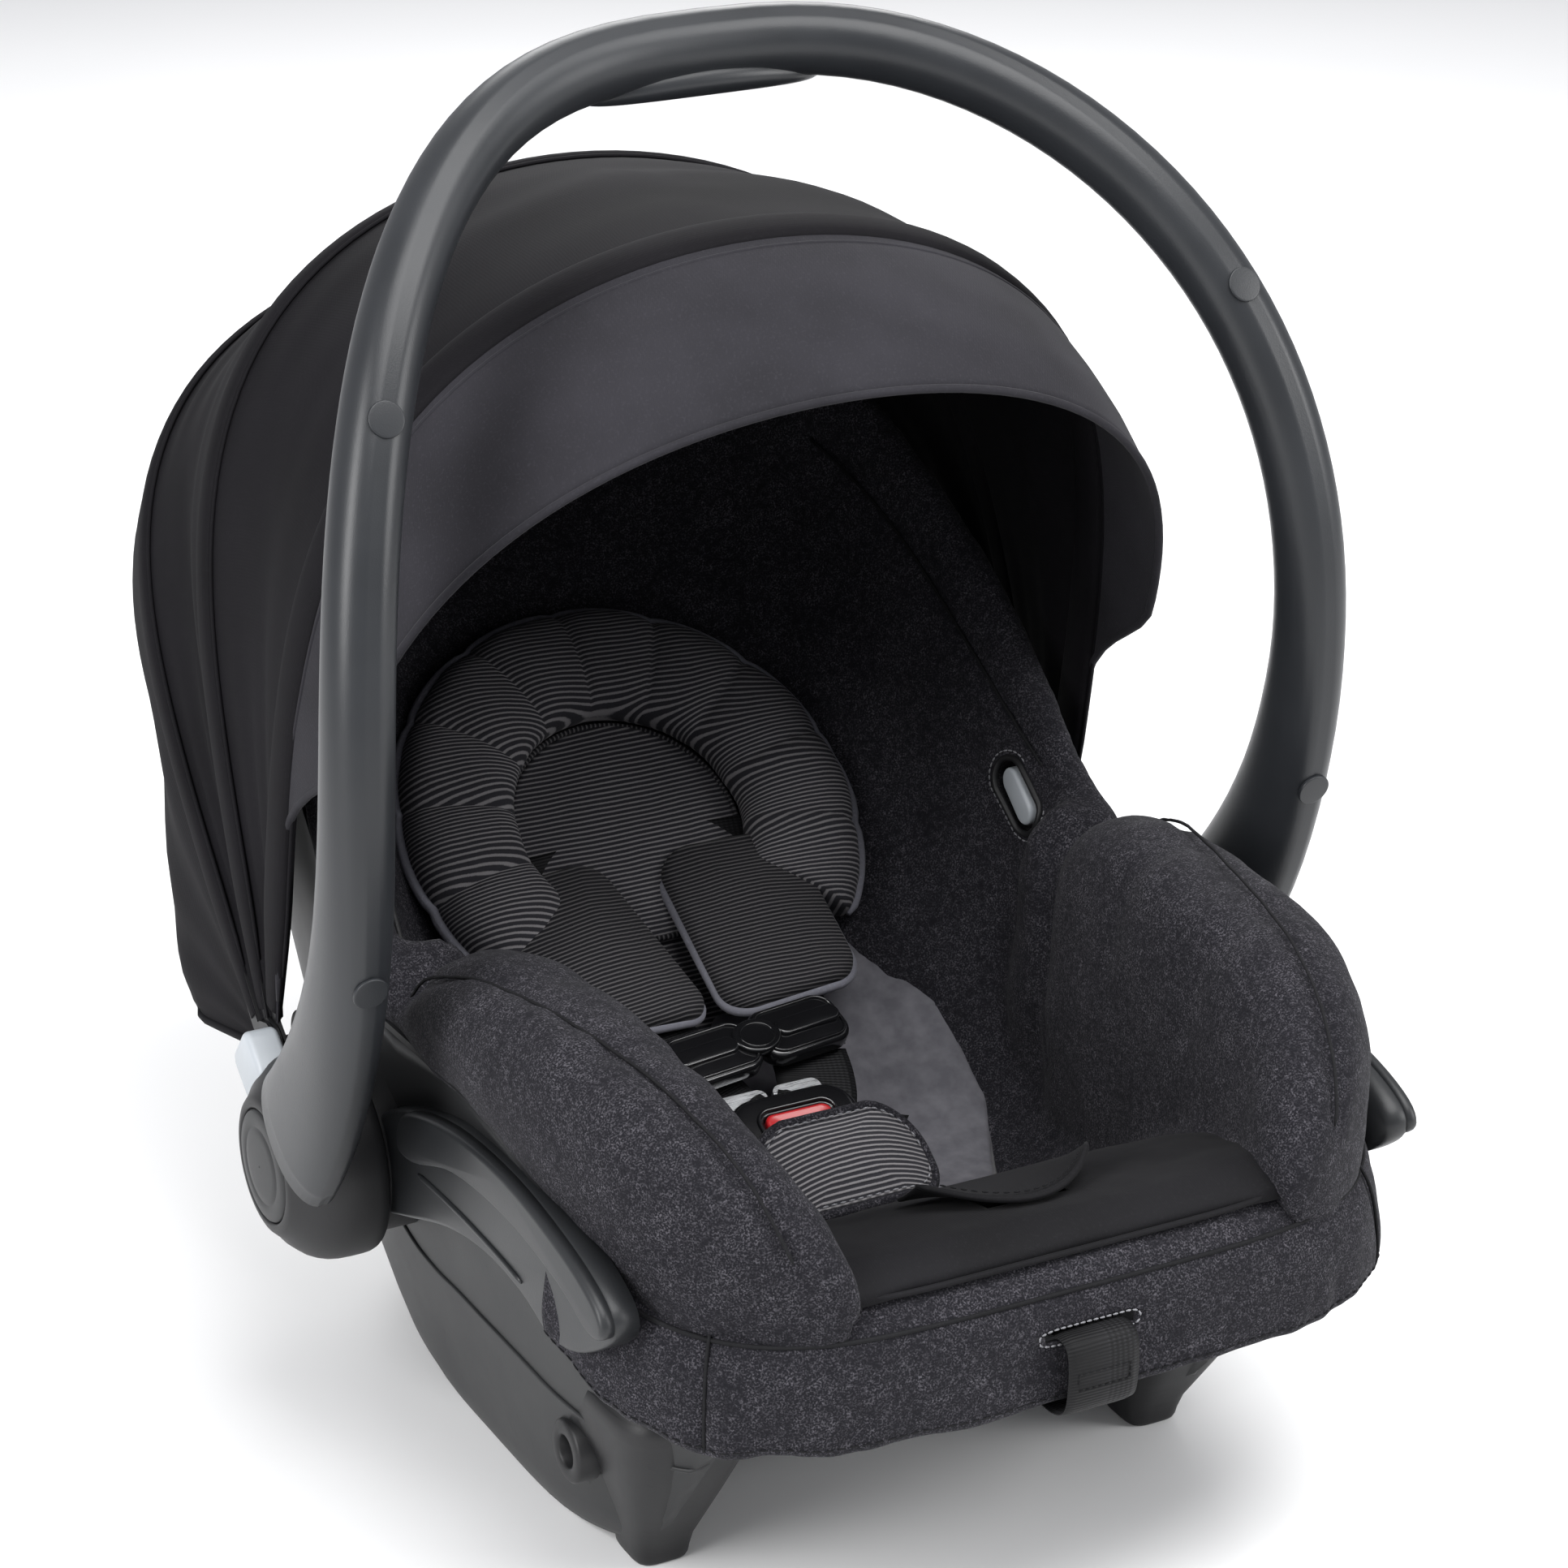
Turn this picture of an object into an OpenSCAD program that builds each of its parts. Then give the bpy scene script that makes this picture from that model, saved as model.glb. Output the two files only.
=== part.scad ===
// Infant car seat: moulded shell on skids, padded cover, five-point harness,
// turning carry handle and a three-panel folding canopy.
// Millimetres. +Z is up, -Y is the foot end, +Y is the head end, +X is the seat's left.
// Every module works in the handle frame, whose Y = 0 is the handle axis;
// placed() moves the whole seat so that the origin is under its middle.

/* [Handle] */
// Height of the handle axis above the floor
hub_z = 125; // [122:1:128]
// Half the distance between the outer faces of the two hubs
hub_x = 213; // [211:1:215]
// Half width of the handle hoop, at the tube's centre line
hoop_x = 208; // [207:1:210]
// Height of the hoop's centre line above its axis
hoop_z = 424; // [422:1:426]
// Radius of the hoop's bow, seen from the side
bow_r = 252; // [250:1:256]
// Radius of the hub drums
drum_r = 43; // [42:1:44]
// Radius of the steel pivot pins
pin_r = 8; // [6:0.5:9]

/* [Shell] */
// Half width of the shell at its rim
shell_w = 170; // [168:1:171]
// How far the shell reaches towards the feet
shell_front = -270; // [-272:1:-268]
// How far the shell rim reaches towards the head
shell_back = 290; // [286:1:291]
// Wall of the shell
wall = 4; // [3:0.5:4]

/* [Padding] */
// Thickness of the fabric cover
cover_t = 7; // [6:0.5:7]
// Thickness of the foam under the back
foam_t = 13; // [12:0.5:13]
// Distance of the padded surface from the middle to the side wall
seat_w = 150; // [148:1:150]
// Recline of the back, from level
recline = 40; // [40:1:41]

/* [Canopy] */
// Reach of the outermost panel from the canopy axis
canopy_r = 345; // [343:0.5:346]
// Half width of the outermost panel
canopy_w = 189.5; // [189:0.5:190]
// Step inward from one panel to the next one forward
nest = 3; // [2.8:0.1:3.2]
// Thickness of the canopy fabric and lining
fabric_t = 1.5; // [1.2:0.1:1.6]

/* [Harness] */
// Width of the webbing
web_w = 34; // [30:1:36]
// Thickness of the webbing
web_t = 1.8; // [1.5:0.1:2]

/* [Hidden] */

plastic = [0.20, 0.21, 0.22];
black = [0.09, 0.09, 0.10];
heather = [0.17, 0.17, 0.19];
grey = [0.66, 0.68, 0.70];
steel = [0.75, 0.76, 0.78];
suede = [0.36, 0.36, 0.38];

origin_y = -32;      // puts the origin under the middle of the whole seat
mid_y = -20;         // where the plan outline is widest
front_n = 4.6;       // squareness of the foot end
back_n = 2.4;        // squareness of the head end
steep = 7;           // how sharply the padded floor turns up into its walls
ring_n = 56;         // points round the shell
tiny = 0.02;         // scale of the ring that closes a bowl's middle

// Heights along the seat, each as [y, z].
rim_table = [[-275, 156], [-230, 160], [-200, 168], [-150, 186], [-104, 196], [-60, 192], [-25, 186],
    [0, 198], [30, 230], [65, 262], [101, 292], [153, 330], [200, 352], [250, 364], [300, 366]];
low_table = [[-275, 32], [-190, 18], [-120, 3], [-90, 0], [100, 0], [140, 10], [200, 60],
    [255, 120], [318, 190], [335, 212]];
arch_table = [[-275, 106], [-200, 84], [-160, 62], [-125, 40], [-90, 18], [-55, 3], [-30, 0]];
seat_table = [[-280, 148], [-262, 155], [-230, 151], [-200, 144], [-180, 136], [-158, 121],
    [-130, 97], [-100, 79], [-60, 70], [-20, 74], [10, 94], [250, 295], [275, 318], [300, 330]];

function soft(y, table, d) = (lookup(y - d, table) + 2 * lookup(y, table) + lookup(y + d, table)) / 4;
function rim_z(y) = soft(y, rim_table, 14);
function low_z(y) = soft(y, low_table, 16);
function seat_z(y) = soft(y, seat_table, 12);
// Underside: the middle rises towards the foot end and leaves a skirt on each side.
function under_z(x, y) = let (t = min(1, max(0, (abs(x) - 98) / 24)))
    mix(max(low_z(y), soft(y, arch_table, 12)), low_z(y), t * t * (3 - 2 * t));
function unit(v) = v / norm(v);
function mix(a, b, t) = a + (b - a) * t;
function spow(v, e) = sign(v) * pow(abs(v), e);

// Point of the plan outline at angle a, for a half width w and the two ends.
function outline(a, w, front, back) =
    let (e = 2 / (sin(a) < 0 ? front_n : back_n), reach = sin(a) < 0 ? mid_y - front : back - mid_y)
    [w * spow(cos(a), e), mid_y + reach * spow(sin(a), e)];
// One ring of the outer hull: level 0 is the skid, level 1 the rim; s shrinks it to the middle.
function hull_ring(level, w, front, back, lift = 0, s = 1) = [for (i = [0:ring_n - 1])
    let (p = outline(360 * i / ring_n, w, front, back), x = s * p[0], y = mid_y + s * (p[1] - mid_y))
    [x, y, mix(under_z(x, y) + lift, rim_z(y), level)]];
// One ring of a padded bowl: s is 0 in the middle and 1 at the rim.
function bowl_ring(s, w, front, back, drop, top) = [for (i = [0:ring_n - 1])
    let (p = outline(360 * i / ring_n, w, front, back), x = s * p[0], y = mid_y + s * (p[1] - mid_y))
    [x, y, mix(seat_z(y) - drop, rim_z(y) + top, pow(s, steep))]];
// How far out a point of the padded bowl is: 0 in its middle, 1 at its rim.
function bowl_s(x, y) =
    let (n = y < mid_y ? front_n : back_n, reach = y < mid_y ? mid_y + 254 : 262 - mid_y)
    pow(pow(abs(x) / seat_w, n) + pow(abs(y - mid_y) / reach, n), 1 / n);
// Height of the padded surface at any x and y.
function cover_z(x, y) = mix(seat_z(y), rim_z(y) + 6, pow(min(1, bowl_s(x, y)), steep));

// Closed solid through a list of rings that turn right-handed about the path.
module loft(rings) {
    n = len(rings[0]);
    m = len(rings);
    polyhedron(points = [for (r = rings) each r], convexity = 8, faces = concat(
        [[for (i = [0:n - 1]) i]],
        [for (j = [0:m - 2], i = [0:n - 1]) [j * n + i, (j + 1) * n + i, (j + 1) * n + (i + 1) % n]],
        [for (j = [0:m - 2], i = [0:n - 1]) [j * n + i, (j + 1) * n + (i + 1) % n, j * n + (i + 1) % n]],
        [[for (i = [n - 1:-1:0]) (m - 1) * n + i]]));
}

// Closed solid between two grids; rows x columns is the outward side of the first grid.
module slab(top, under) {
    r = len(top);
    c = len(top[0]);
    k = r * c;
    edge = concat([for (j = [0:c - 2]) j], [for (i = [0:r - 2]) i * c + c - 1],
        [for (j = [c - 1:-1:1]) (r - 1) * c + j], [for (i = [r - 1:-1:1]) i * c]);
    e = len(edge);
    polyhedron(points = concat([for (row = top) each row], [for (row = under) each row]), convexity = 8,
        faces = [
            for (i = [0:r - 2], j = [0:c - 2]) let (a = i * c + j, b = a + 1, d = a + c)
                each [[a, b, d + 1], [a, d + 1, d], [a + k, d + 1 + k, b + k], [a + k, d + k, d + 1 + k]],
            for (q = [0:e - 1]) let (a = edge[q], b = edge[(q + 1) % e])
                each [[b, a, a + k], [b, a + k, b + k]]]);
}

function tangent(p, i) = unit(p[min(i + 1, len(p) - 1)] - p[max(i - 1, 0)]);
// Flat band along a path; side is the direction of its width.
module ribbon(path, width, thick, side = [1, 0, 0]) {
    n = [for (i = [0:len(path) - 1]) unit(cross(tangent(path, i), side))];
    slab([for (i = [0:len(path) - 1]) [for (k = [-0.5, 0.5]) path[i] + k * width * side + n[i] * thick / 2]],
        [for (i = [0:len(path) - 1]) [for (k = [-0.5, 0.5]) path[i] + k * width * side - n[i] * thick / 2]]);
}
// Elliptical ring round c; u and v are its half axes.
function oval(c, u, v, n = 12) = [for (i = [0:n - 1]) c + u * cos(360 * i / n) + v * sin(360 * i / n)];
// Box with rounded corners in plan, standing on z = 0.
module rounded_plate(size, r) {
    linear_extrude(size[2]) hull() for (x = [-1, 1], y = [-1, 1])
        translate([x * (size[0] / 2 - r), y * (size[1] / 2 - r)]) circle(r, $fn = 32);
}
// Points of a smooth curve through a few chosen corners.
function blend4(a, b, c, d, t) = 0.5 * ((2 * b) + (c - a) * t + (2 * a - 5 * b + 4 * c - d) * t * t
    + (3 * b - a - 3 * c + d) * t * t * t);
function smooth_path(p, k) = let (n = len(p)) concat([for (i = [0:n - 2], j = [0:k - 1])
    blend4(p[max(i - 1, 0)], p[i], p[i + 1], p[min(i + 2, n - 1)], j / k)], [p[n - 1]]);
function smooth_loop(p, k) = let (n = len(p)) [for (i = [0:n - 1], j = [0:k - 1])
    blend4(p[(i + n - 1) % n], p[i], p[(i + 1) % n], p[(i + 2) % n], j / k)];
module placed() translate([0, origin_y, 0]) children();
// Draws its children on side 1 (seat's left, +X) or side -1, as mirror images.
module on_side(side) mirror([side < 0 ? 1 : 0, 0, 0]) children();

// ---------------------------------------------------------------- shell and structure
// Outer hull levels as [level, inset from the rim's half width, front, back].
hull_levels = [[0, 38, 80, -150], [0.04, 33, 74, -124], [0.25, 24, 52, -36], [0.5, 14, 30, 28],
    [0.75, 7, 13, 40], [0.93, 3, 4, 22], [1, 0, 0, 0]];
bar_front = [-112, 22];   // y and z of the front latch bar
bar_rear = [92, 24];      // y and z of the rear latch bar
bar_r = 5;
channel_w = 112;          // half width of the channels that bare the latch bars

module shell_cup() {
    outer = [for (l = hull_levels)
        hull_ring(l[0], shell_w - l[1], shell_front + l[2], shell_back + l[3])];
    inner = [for (l = hull_levels) hull_ring(l[0], shell_w - l[1] - wall, shell_front + l[2] + wall,
        shell_back + l[3] - wall, wall)];
    floor_out = [for (s = [tiny, 0.5, 0.9])
        hull_ring(0, shell_w - 38, shell_front + 80, shell_back - 150, 0, s)];
    floor_in = [for (s = [tiny, 0.5, 0.9]) hull_ring(0, shell_w - 38 - wall, shell_front + 80 + wall,
        shell_back - 150 - wall, wall, s)];
    last = len(inner) - 1;
    loft(concat(floor_out, outer, [for (i = [last:-1:0]) inner[i]], [for (i = [2:-1:0]) floor_in[i]]));
}
module bar_cheeks(bar) {
    for (x = [-1, 1]) translate([x * (channel_w + 5) - 4, bar[0] - 11, 3]) cube([8, 22, bar[1] + 9]);
}
module shell() {
    color(plastic) difference() {
        union() {
            shell_cup();
            bar_cheeks(bar_front);
            bar_cheeks(bar_rear);
        }
        for (bar = [bar_front, bar_rear]) {
            translate([-channel_w, bar[0] - 14, -5]) cube([2 * channel_w, 28, bar[1] + 5]);
            translate([-150, bar[0], bar[1]]) rotate([0, 90, 0]) cylinder(r = bar_r, h = 300, $fn = 48);
        }
        translate([-24, shell_front - 5, 128]) cube([48, 20, 16]);
        adjuster_well();
    }
}
module latch_bar(bar) {
    color(steel) translate([-channel_w - 8, bar[0], bar[1]]) rotate([0, 90, 0])
        cylinder(r = bar_r, h = 2 * channel_w + 16, $fn = 48);
}

tub_w = seat_w + cover_t + foam_t / 2;
bowl_steps = [tiny, 0.25, 0.45, 0.6, 0.72, 0.82, 0.9, 0.96, 1];
module seat_tub() {
    drop = cover_t + foam_t + 2.4;
    under = [for (s = bowl_steps) bowl_ring(s, tub_w + 1.6, -265.5, 284, drop + 3, 0.2)];
    upper = [for (s = bowl_steps) bowl_ring(s, tub_w - 0.4, -264.3, 281, drop, 3)];
    flange = [bowl_ring(1, shell_w + 0.5, shell_front - 0.5, shell_back + 0.5, 0, 0.2),
        bowl_ring(1, shell_w + 0.5, shell_front - 0.5, shell_back + 0.5, 0, 3)];
    color(black) difference() {
        loft(concat(under, flange, [for (i = [len(bowl_steps) - 1:-1:0]) upper[i]]));
        button_holes();
        adjuster_well();
    }
}
module foam_liner() {
    under = [for (s = bowl_steps) bowl_ring(s, tub_w - 0.8, -264, 280.5, cover_t + foam_t + 2, 2)];
    upper = [for (s = bowl_steps) bowl_ring(s, seat_w + cover_t, -260.3, 269.3, cover_t + 0.6, 2)];
    color([0.85, 0.85, 0.86]) difference() {
        loft(concat(under, [for (i = [len(bowl_steps) - 1:-1:0]) upper[i]]));
        button_holes();
        adjuster_well();
    }
}
guide_points = [[-12, 118], [-10, 132], [-28, 152], [-62, 168], [-104, 180], [-156, 183], [-204, 177],
    [-232, 168], [-238, 158], [-228, 147], [-206, 134], [-184, 129], [-158, 135], [-124, 136], [-88, 129],
    [-44, 113], [-24, 107]];
rail_points = [[-52, 150], [-60, 167], [-104, 180], [-156, 183], [-204, 177], [-232, 168], [-238, 158],
    [-226, 153], [-200, 161], [-156, 166], [-106, 162], [-66, 148]];
module belt_guide() {
    color(plastic) {
        difference() {
            translate([161, 0, 0]) rotate([90, 0, 90]) linear_extrude(11) polygon(smooth_loop(guide_points, 3));
            translate([169.5, -140, 143]) rotate([90, 0, 90]) linear_extrude(4)
                hull() for (y = [-70 / 2, 62 / 2]) translate([y + 20, 0]) circle(1.2, $fn = 24);
        }
        translate([171.9, 0, 0]) rotate([90, 0, 90]) linear_extrude(4.6) polygon(smooth_loop(rail_points, 3));
    }
}
module front_foot() {
    // Each section is z, centre x, centre y, x size, y size.
    sections = [[92, 116, -166, 66, 82], [70, 117, -165, 58, 66], [40, 115, -158, 42, 44],
        [12, 113, -147, 27, 30], [3, 112.5, -145, 24, 28], [0, 112.5, -145, 21, 25]];
    color(plastic) loft([for (i = [len(sections) - 1:-1:0]) let (s = sections[i]) [for (k = [0:23])
        let (a = 15 * k) [s[1] + s[3] / 2 * spow(cos(a), 0.5), s[2] + s[4] / 2 * spow(sin(a), 0.5), s[0]]]]);
}
module frame_socket() {
    color(black) translate([139, -143, 52]) rotate([0, 90, 0]) difference() {
        cylinder(r = 13, h = 9, $fn = 64);
        translate([0, 0, -1]) cylinder(r = 6.5, h = 11, $fn = 64);
    }
}
module hub_mount() {
    color(black) translate([154, 0, hub_z]) rotate([0, 90, 0]) difference() {
        cylinder(r = 36, h = 20, $fn = 72);
        translate([0, 0, -1]) cylinder(r = pin_r, h = 22, $fn = 72);
    }
}
module pivot_pin() {
    color(steel) translate([146, 0, hub_z]) rotate([0, 90, 0]) cylinder(r = pin_r, h = 58, $fn = 72);
}

// ---------------------------------------------------------------- padding
module button_holes() {
    for (side = [-1, 1]) on_side(side) translate(adapter_at) rotate([recline, 0, 0]) translate([-20, 0, 0])
        rotate([0, 90, 0]) linear_extrude(50) hull() for (y = [-8, 8]) translate([0, y]) circle(9.5, $fn = 32);
}
module seat_cover() {
    under = [for (s = bowl_steps) bowl_ring(s, seat_w + cover_t - 0.4, -260, 269, cover_t, 6)];
    upper = [for (s = bowl_steps) bowl_ring(s, seat_w, -254, 262, 0, 6)];
    color(heather) difference() {
        loft(concat(under, [for (i = [len(bowl_steps) - 1:-1:0]) upper[i]]));
        button_holes();
        adjuster_well();
    }
}
// Rolled edge over the rim, from one side round the head end to the other.
module rim_cover() {
    path = [for (a = [0:7.5:180]) let (p = outline(a, 163, -262, 281)) [p[0], p[1], rim_z(p[1]) + 11.5]];
    color(heather) loft([for (i = [0:len(path) - 1])
        let (t = tangent(path, i), side = unit(cross(t, [0, 0, 1])), up = cross(side, t))
        oval(path[i], side * 9.5, -up * 7.5, 12)]);
}
// Front side lobe: [y, centre x, centre z, half width, half height].
lobe = [[-36, 146, 196, 10, 9], [-42, 145, 197, 18, 20], [-56, 144, 201, 23, 28], [-80, 144, 205, 25, 31],
    [-120, 144, 207, 26, 31], [-165, 143, 207, 26, 30], [-205, 140, 204, 27, 29], [-236, 134, 196, 27, 27],
    [-258, 127, 186, 23, 22], [-268, 122, 180, 12, 12]];
module bolster() {
    color(heather) loft([for (s = lobe) oval([s[1], s[0], s[2]], [s[3], 0, 0], [0, 0, s[4]], 20)]);
}
// Skirt of fabric round the foot end, from the seam over the rim down to the hem.
module front_cover() {
    angles = [for (k = [0:20]) mix(-154, -26, k / 20)];
    rows = [[6, -2], [-10, 4], [-27, 7], [-45, 8]];   // each [rise over the rim, spread]
    function skin(a, r, off) = let (p = outline(a, shell_w + r[1] - off, shell_front - 7 - r[1] + off, 200))
        [p[0], p[1], rim_z(p[1]) + r[0]];
    color(heather) difference() {
        slab([for (a = angles) [for (r = rows) skin(a, r, 0)]],
            [for (a = angles) [for (r = rows) skin(a, r, 5.2)]]);
        translate([-19, -300, 135.5]) cube([38, 40, 6]);
    }
}
module front_pad() {
    ys = [for (k = [0:9]) mix(-266, -128, k / 9)];
    function half(y) = lookup(y, [[-266, 108], [-240, 112], [-200, 104], [-170, 86], [-128, 66]]);
    function grid(lift) = [for (y = ys) [for (k = [-6:6]) let (x = half(y) * k / 6)
        [x, y, cover_z(x * 0.96, y) + lift]]];
    color(black) difference() {
        slab([for (row = grid(9.5)) [for (k = [12:-1:0]) row[k]]],
            [for (row = grid(1.5)) [for (k = [12:-1:0]) row[k]]]);
        adjuster_well();
    }
}
// Curved tab of cloth over the adjuster: its front edge bows forward and its two ends lift.
function flap_point(k, v, lift) = let (x = 38 * k, y = mix(-218 - 26 * (1 - k * k), -203, v))
    [x, y, cover_z(x, y) + 11.5 + 8 * k * k * (1 - v) + lift];
module pad_flap() {
    across = [for (i = [-5:5]) i / 5.2];
    color(black) slab([for (v = [0:4]) [for (i = [10:-1:0]) flap_point(across[i], v / 4, 2.5)]],
        [for (v = [0:4]) [for (i = [10:-1:0]) flap_point(across[i], v / 4, 0)]]);
}
module body_insert() {
    ys = [for (k = [0:8]) mix(-100, 62, k / 8)];
    function half(y) = lookup(y, [[-100, 62], [-60, 92], [-20, 112], [20, 112], [62, 84]]);
    function grid(lift) = [for (y = ys) [for (k = [-7:7])
        let (x = half(y) * k / 7) [x, y, cover_z(x, y) + lift]]];
    color(suede) slab([for (row = grid(7.5)) [for (k = [14:-1:0]) row[k]]],
        [for (row = grid(1.5)) [for (k = [14:-1:0]) row[k]]]);
}
pillow_y = 112;
module on_back(y, lift) translate([0, y, seat_z(y)]) rotate([recline, 0, 0]) translate([0, 0, lift]) children();
module pillow_ring() {
    color(heather) on_back(pillow_y, 18) rotate([0, 0, -38]) rotate_extrude(angle = 256, $fn = 72)
        translate([78, 0]) intersection() {
            scale([1, 0.66]) circle(25, $fn = 40);
            translate([-25, -13]) square([50, 40]);
        }
}
module pillow_centre() {
    color(heather) on_back(pillow_y, 4) cylinder(r = 52, h = 11, $fn = 64);
}

// ---------------------------------------------------------------- harness
clip_at = [0, -12, 131];
strap_path = [[38, 100, 187], [37, 86, 170], [36, 68, 160], [34, 40, 147], [31, 14, 137], [27, -12, 128]];
pad_len = 84;
module shoulder_strap() {
    color(black) ribbon(smooth_path(strap_path, 3), web_w, web_t);
}
pad_at = [36, 50, 157];
module shoulder_pad() {
    color(black) translate(pad_at) rotate([25, 0, 5]) rounded_plate([58, pad_len, 11], 14);
}
module lap_strap(side) {
    a = [side * 88, 8, 116];
    b = [side * 28, -44, 122];
    path = smooth_path([a, mix(a, b, 0.35) + [0, 0, 4], mix(a, b, 0.7) + [0, 0, 4], b], 4);
    color(black) ribbon(path, 24, web_t, unit(cross(b - a, [0, 0, 1])));
}
module crotch_strap() {
    path = smooth_path([[0, -104, 86], [0, -98, 97], [0, -90, 103], [0, -81, 106]], 3);
    color(black) ribbon(path, web_w, web_t);
}
module chest_half(side) {
    color(black) translate(clip_at) rotate([24, 0, 6]) difference() {
        translate([side * 22.4, 0, 2]) rounded_plate([43.6, 27, 9], 9);
        translate([0, 0, 5]) scale([1.25, 1, 1]) cylinder(r = 9.3, h = 10, $fn = 48);
    }
}
module chest_clip_button() {
    color(black) translate(clip_at) rotate([24, 0, 6]) translate([0, 0, 8.4]) scale([1.25, 1, 1])
        cylinder(r = 9, h = 4.2, $fn = 48);
}
buckle_at = [0, -58, 104];
buckle_tilt = 28;
module buckle_body() {
    color(black) translate(buckle_at) rotate([buckle_tilt, 0, 0]) difference() {
        translate([0, 0, -8]) rounded_plate([58, 52, 22], 12);
        translate([-15.4, -5, 7]) cube([30.8, 20, 12]);
        translate([-24, 4, -3]) cube([48, 30, 6]);
    }
}
module buckle_button() {
    color([0.72, 0.09, 0.11]) translate(buckle_at) rotate([buckle_tilt, 0, 0])
        translate([0, 5, 11.2]) rounded_plate([30, 18.4, 4.4], 4);
}
module buckle_tongues() {
    color(steel) translate(buckle_at) rotate([buckle_tilt, 0, 0]) for (side = [-1, 1])
        translate([side * 12.5, 21, -1.5]) rounded_plate([22, 30, 3], 4);
}
module crotch_pad() {
    color(black) translate([0, -98, 110]) rotate([14, 0, 0]) rounded_plate([74, 34, 9], 14);
}
// Well through the padding under the flap, for the adjuster.
adjuster_at = [0, -229, 122];
module adjuster_well() {
    translate(adjuster_at + [-24, -17, -30]) cube([48, 34, 90]);
}
module adjuster_housing() {
    color(plastic) translate(adjuster_at) difference() {
        translate([-23, -16, 0]) cube([46, 32, 33]);
        translate([-18, -17, 8]) cube([36, 34, 4]);
        translate([-13, -9, 22]) cube([26, 18, 12]);
    }
}
module adjuster_button() {
    color(grey) translate(adjuster_at + [-12.7, -8.7, 27]) cube([25.4, 17.4, 9]);
}
module adjuster_strap() {
    path = smooth_path([[0, -246, 132], [0, -262, 135], [0, -280, 138], [0, -289, 138.5], [0, -293, 134],
        [0, -293.5, 122], [0, -291, 111], [0, -282, 106], [0, -266, 106]], 3);
    color(black) ribbon(path, 30, web_t);
}

// ---------------------------------------------------------------- handle
bow_y = 148.7;       // centre of the hoop's bow from the handle axis, along Y
bow_z = 203;         // and along Z
spring_z = 150;      // height where the hoop starts to curve inward
hoop_n = 2.7;        // squareness of the hoop, seen from the front
function bow_at(z) = bow_y - sqrt(bow_r * bow_r - pow(z - bow_z, 2));
function hoop_point(x, z) = [x, bow_at(z), hub_z + z];
arm_heights = [26, 40, 58, 80, 104, 128];
arc_angles = [for (k = [0:13]) 90 * pow(k / 13, 1.25)];
hoop_side = concat([for (z = arm_heights) hoop_point(hoop_x, z)],
    [for (a = arc_angles) hoop_point(hoop_x * pow(cos(a), 2 / hoop_n),
        spring_z + (hoop_z - spring_z) * pow(sin(a), 2 / hoop_n))]);
hoop = concat([for (p = hoop_side) [-p[0], p[1], p[2]]], [for (i = [len(hoop_side) - 2:-1:0]) hoop_side[i]]);
// Half widths of the tube by height: across the bow, and through it.
function tube_a(z) = lookup(z, [[0, 31], [40, 29], [80, 25.5], [130, 20], [190, 15.5], [260, 14], [430, 14]]);
function tube_b(z) = lookup(z, [[0, 12], [60, 12.5], [150, 13.4], [430, 13.4]]);
module handle_tube() {
    color(plastic) loft([for (i = [0:len(hoop) - 1])
        let (p = hoop[i], t = tangent(hoop, i), m = [0, p[1] - bow_y, p[2] - hub_z - bow_z],
            a = unit(m - t * (m * t)), b = cross(t, a), z = p[2] - hub_z)
        [for (k = [0:15]) let (w = 22.5 * k)
            p + a * tube_a(z) * spow(cos(w), 0.9) + b * tube_b(z) * spow(sin(w), 0.9)]]);
}
module handle_grip() {
    top = hoop_point(0, hoop_z);
    drop = unit([0, bow_at(hoop_z) - bow_y, hoop_z - bow_z]);
    color(black) difference() {
        loft([for (k = [-8:8]) let (x = 50 * k / 8.001, f = sqrt(1 - pow(k / 8.2, 2)))
            oval(top - [0, 0, 11.5 + 2.2 * (1 - f)] + [x, 0, -3 * pow(k / 8, 2)],
                [0, 13 * f, 0], [0, 0, 7.5 * f], 16)]);
        translate([-60, top[1] - 30, top[2] - 13.2]) cube([120, 60, 40]);
    }
}
button_a = 129;      // where the release button sits round the drum, from straight down
// Drum of a hub, with a running bore for the pivot pin.
module hub() {
    color(black) translate([0, 0, hub_z]) rotate([0, 90, 0]) difference() {
        rotate_extrude($fn = 96) polygon([[pin_r + 0.05, 174.6], [drum_r - 3, 174.6], [drum_r - 0.8, 176],
            [drum_r, 180], [drum_r, 190], [drum_r - 2, 197], [drum_r - 6, 203], [drum_r - 12, 208.5],
            [28, hub_x - 1.4], [25, hub_x - 0.4], [23.6, hub_x - 0.4], [23.6, hub_x - 4],
            [pin_r + 0.05, hub_x - 4]]);
        rotate([0, 0, button_a]) translate([28, -13, 190.6]) cube([20, 26, 14.8]);
    }
}
module hub_caps() {
    color(plastic) for (side = [-1, 1]) on_side(side) translate([hub_x - 4, 0, hub_z]) rotate([0, 90, 0])
        rotate_extrude($fn = 96) polygon([[0, 0], [23.4, 0], [23.4, 3.2], [22, 4], [12, 4.7], [0, 5]]);
}
module handle_button() {
    color(grey) translate([0, 0, hub_z]) rotate([0, 90, 0]) rotate([0, 0, button_a])
        translate([31.3, -12.6, 191]) cube([24, 25.2, 14]);
}
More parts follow.
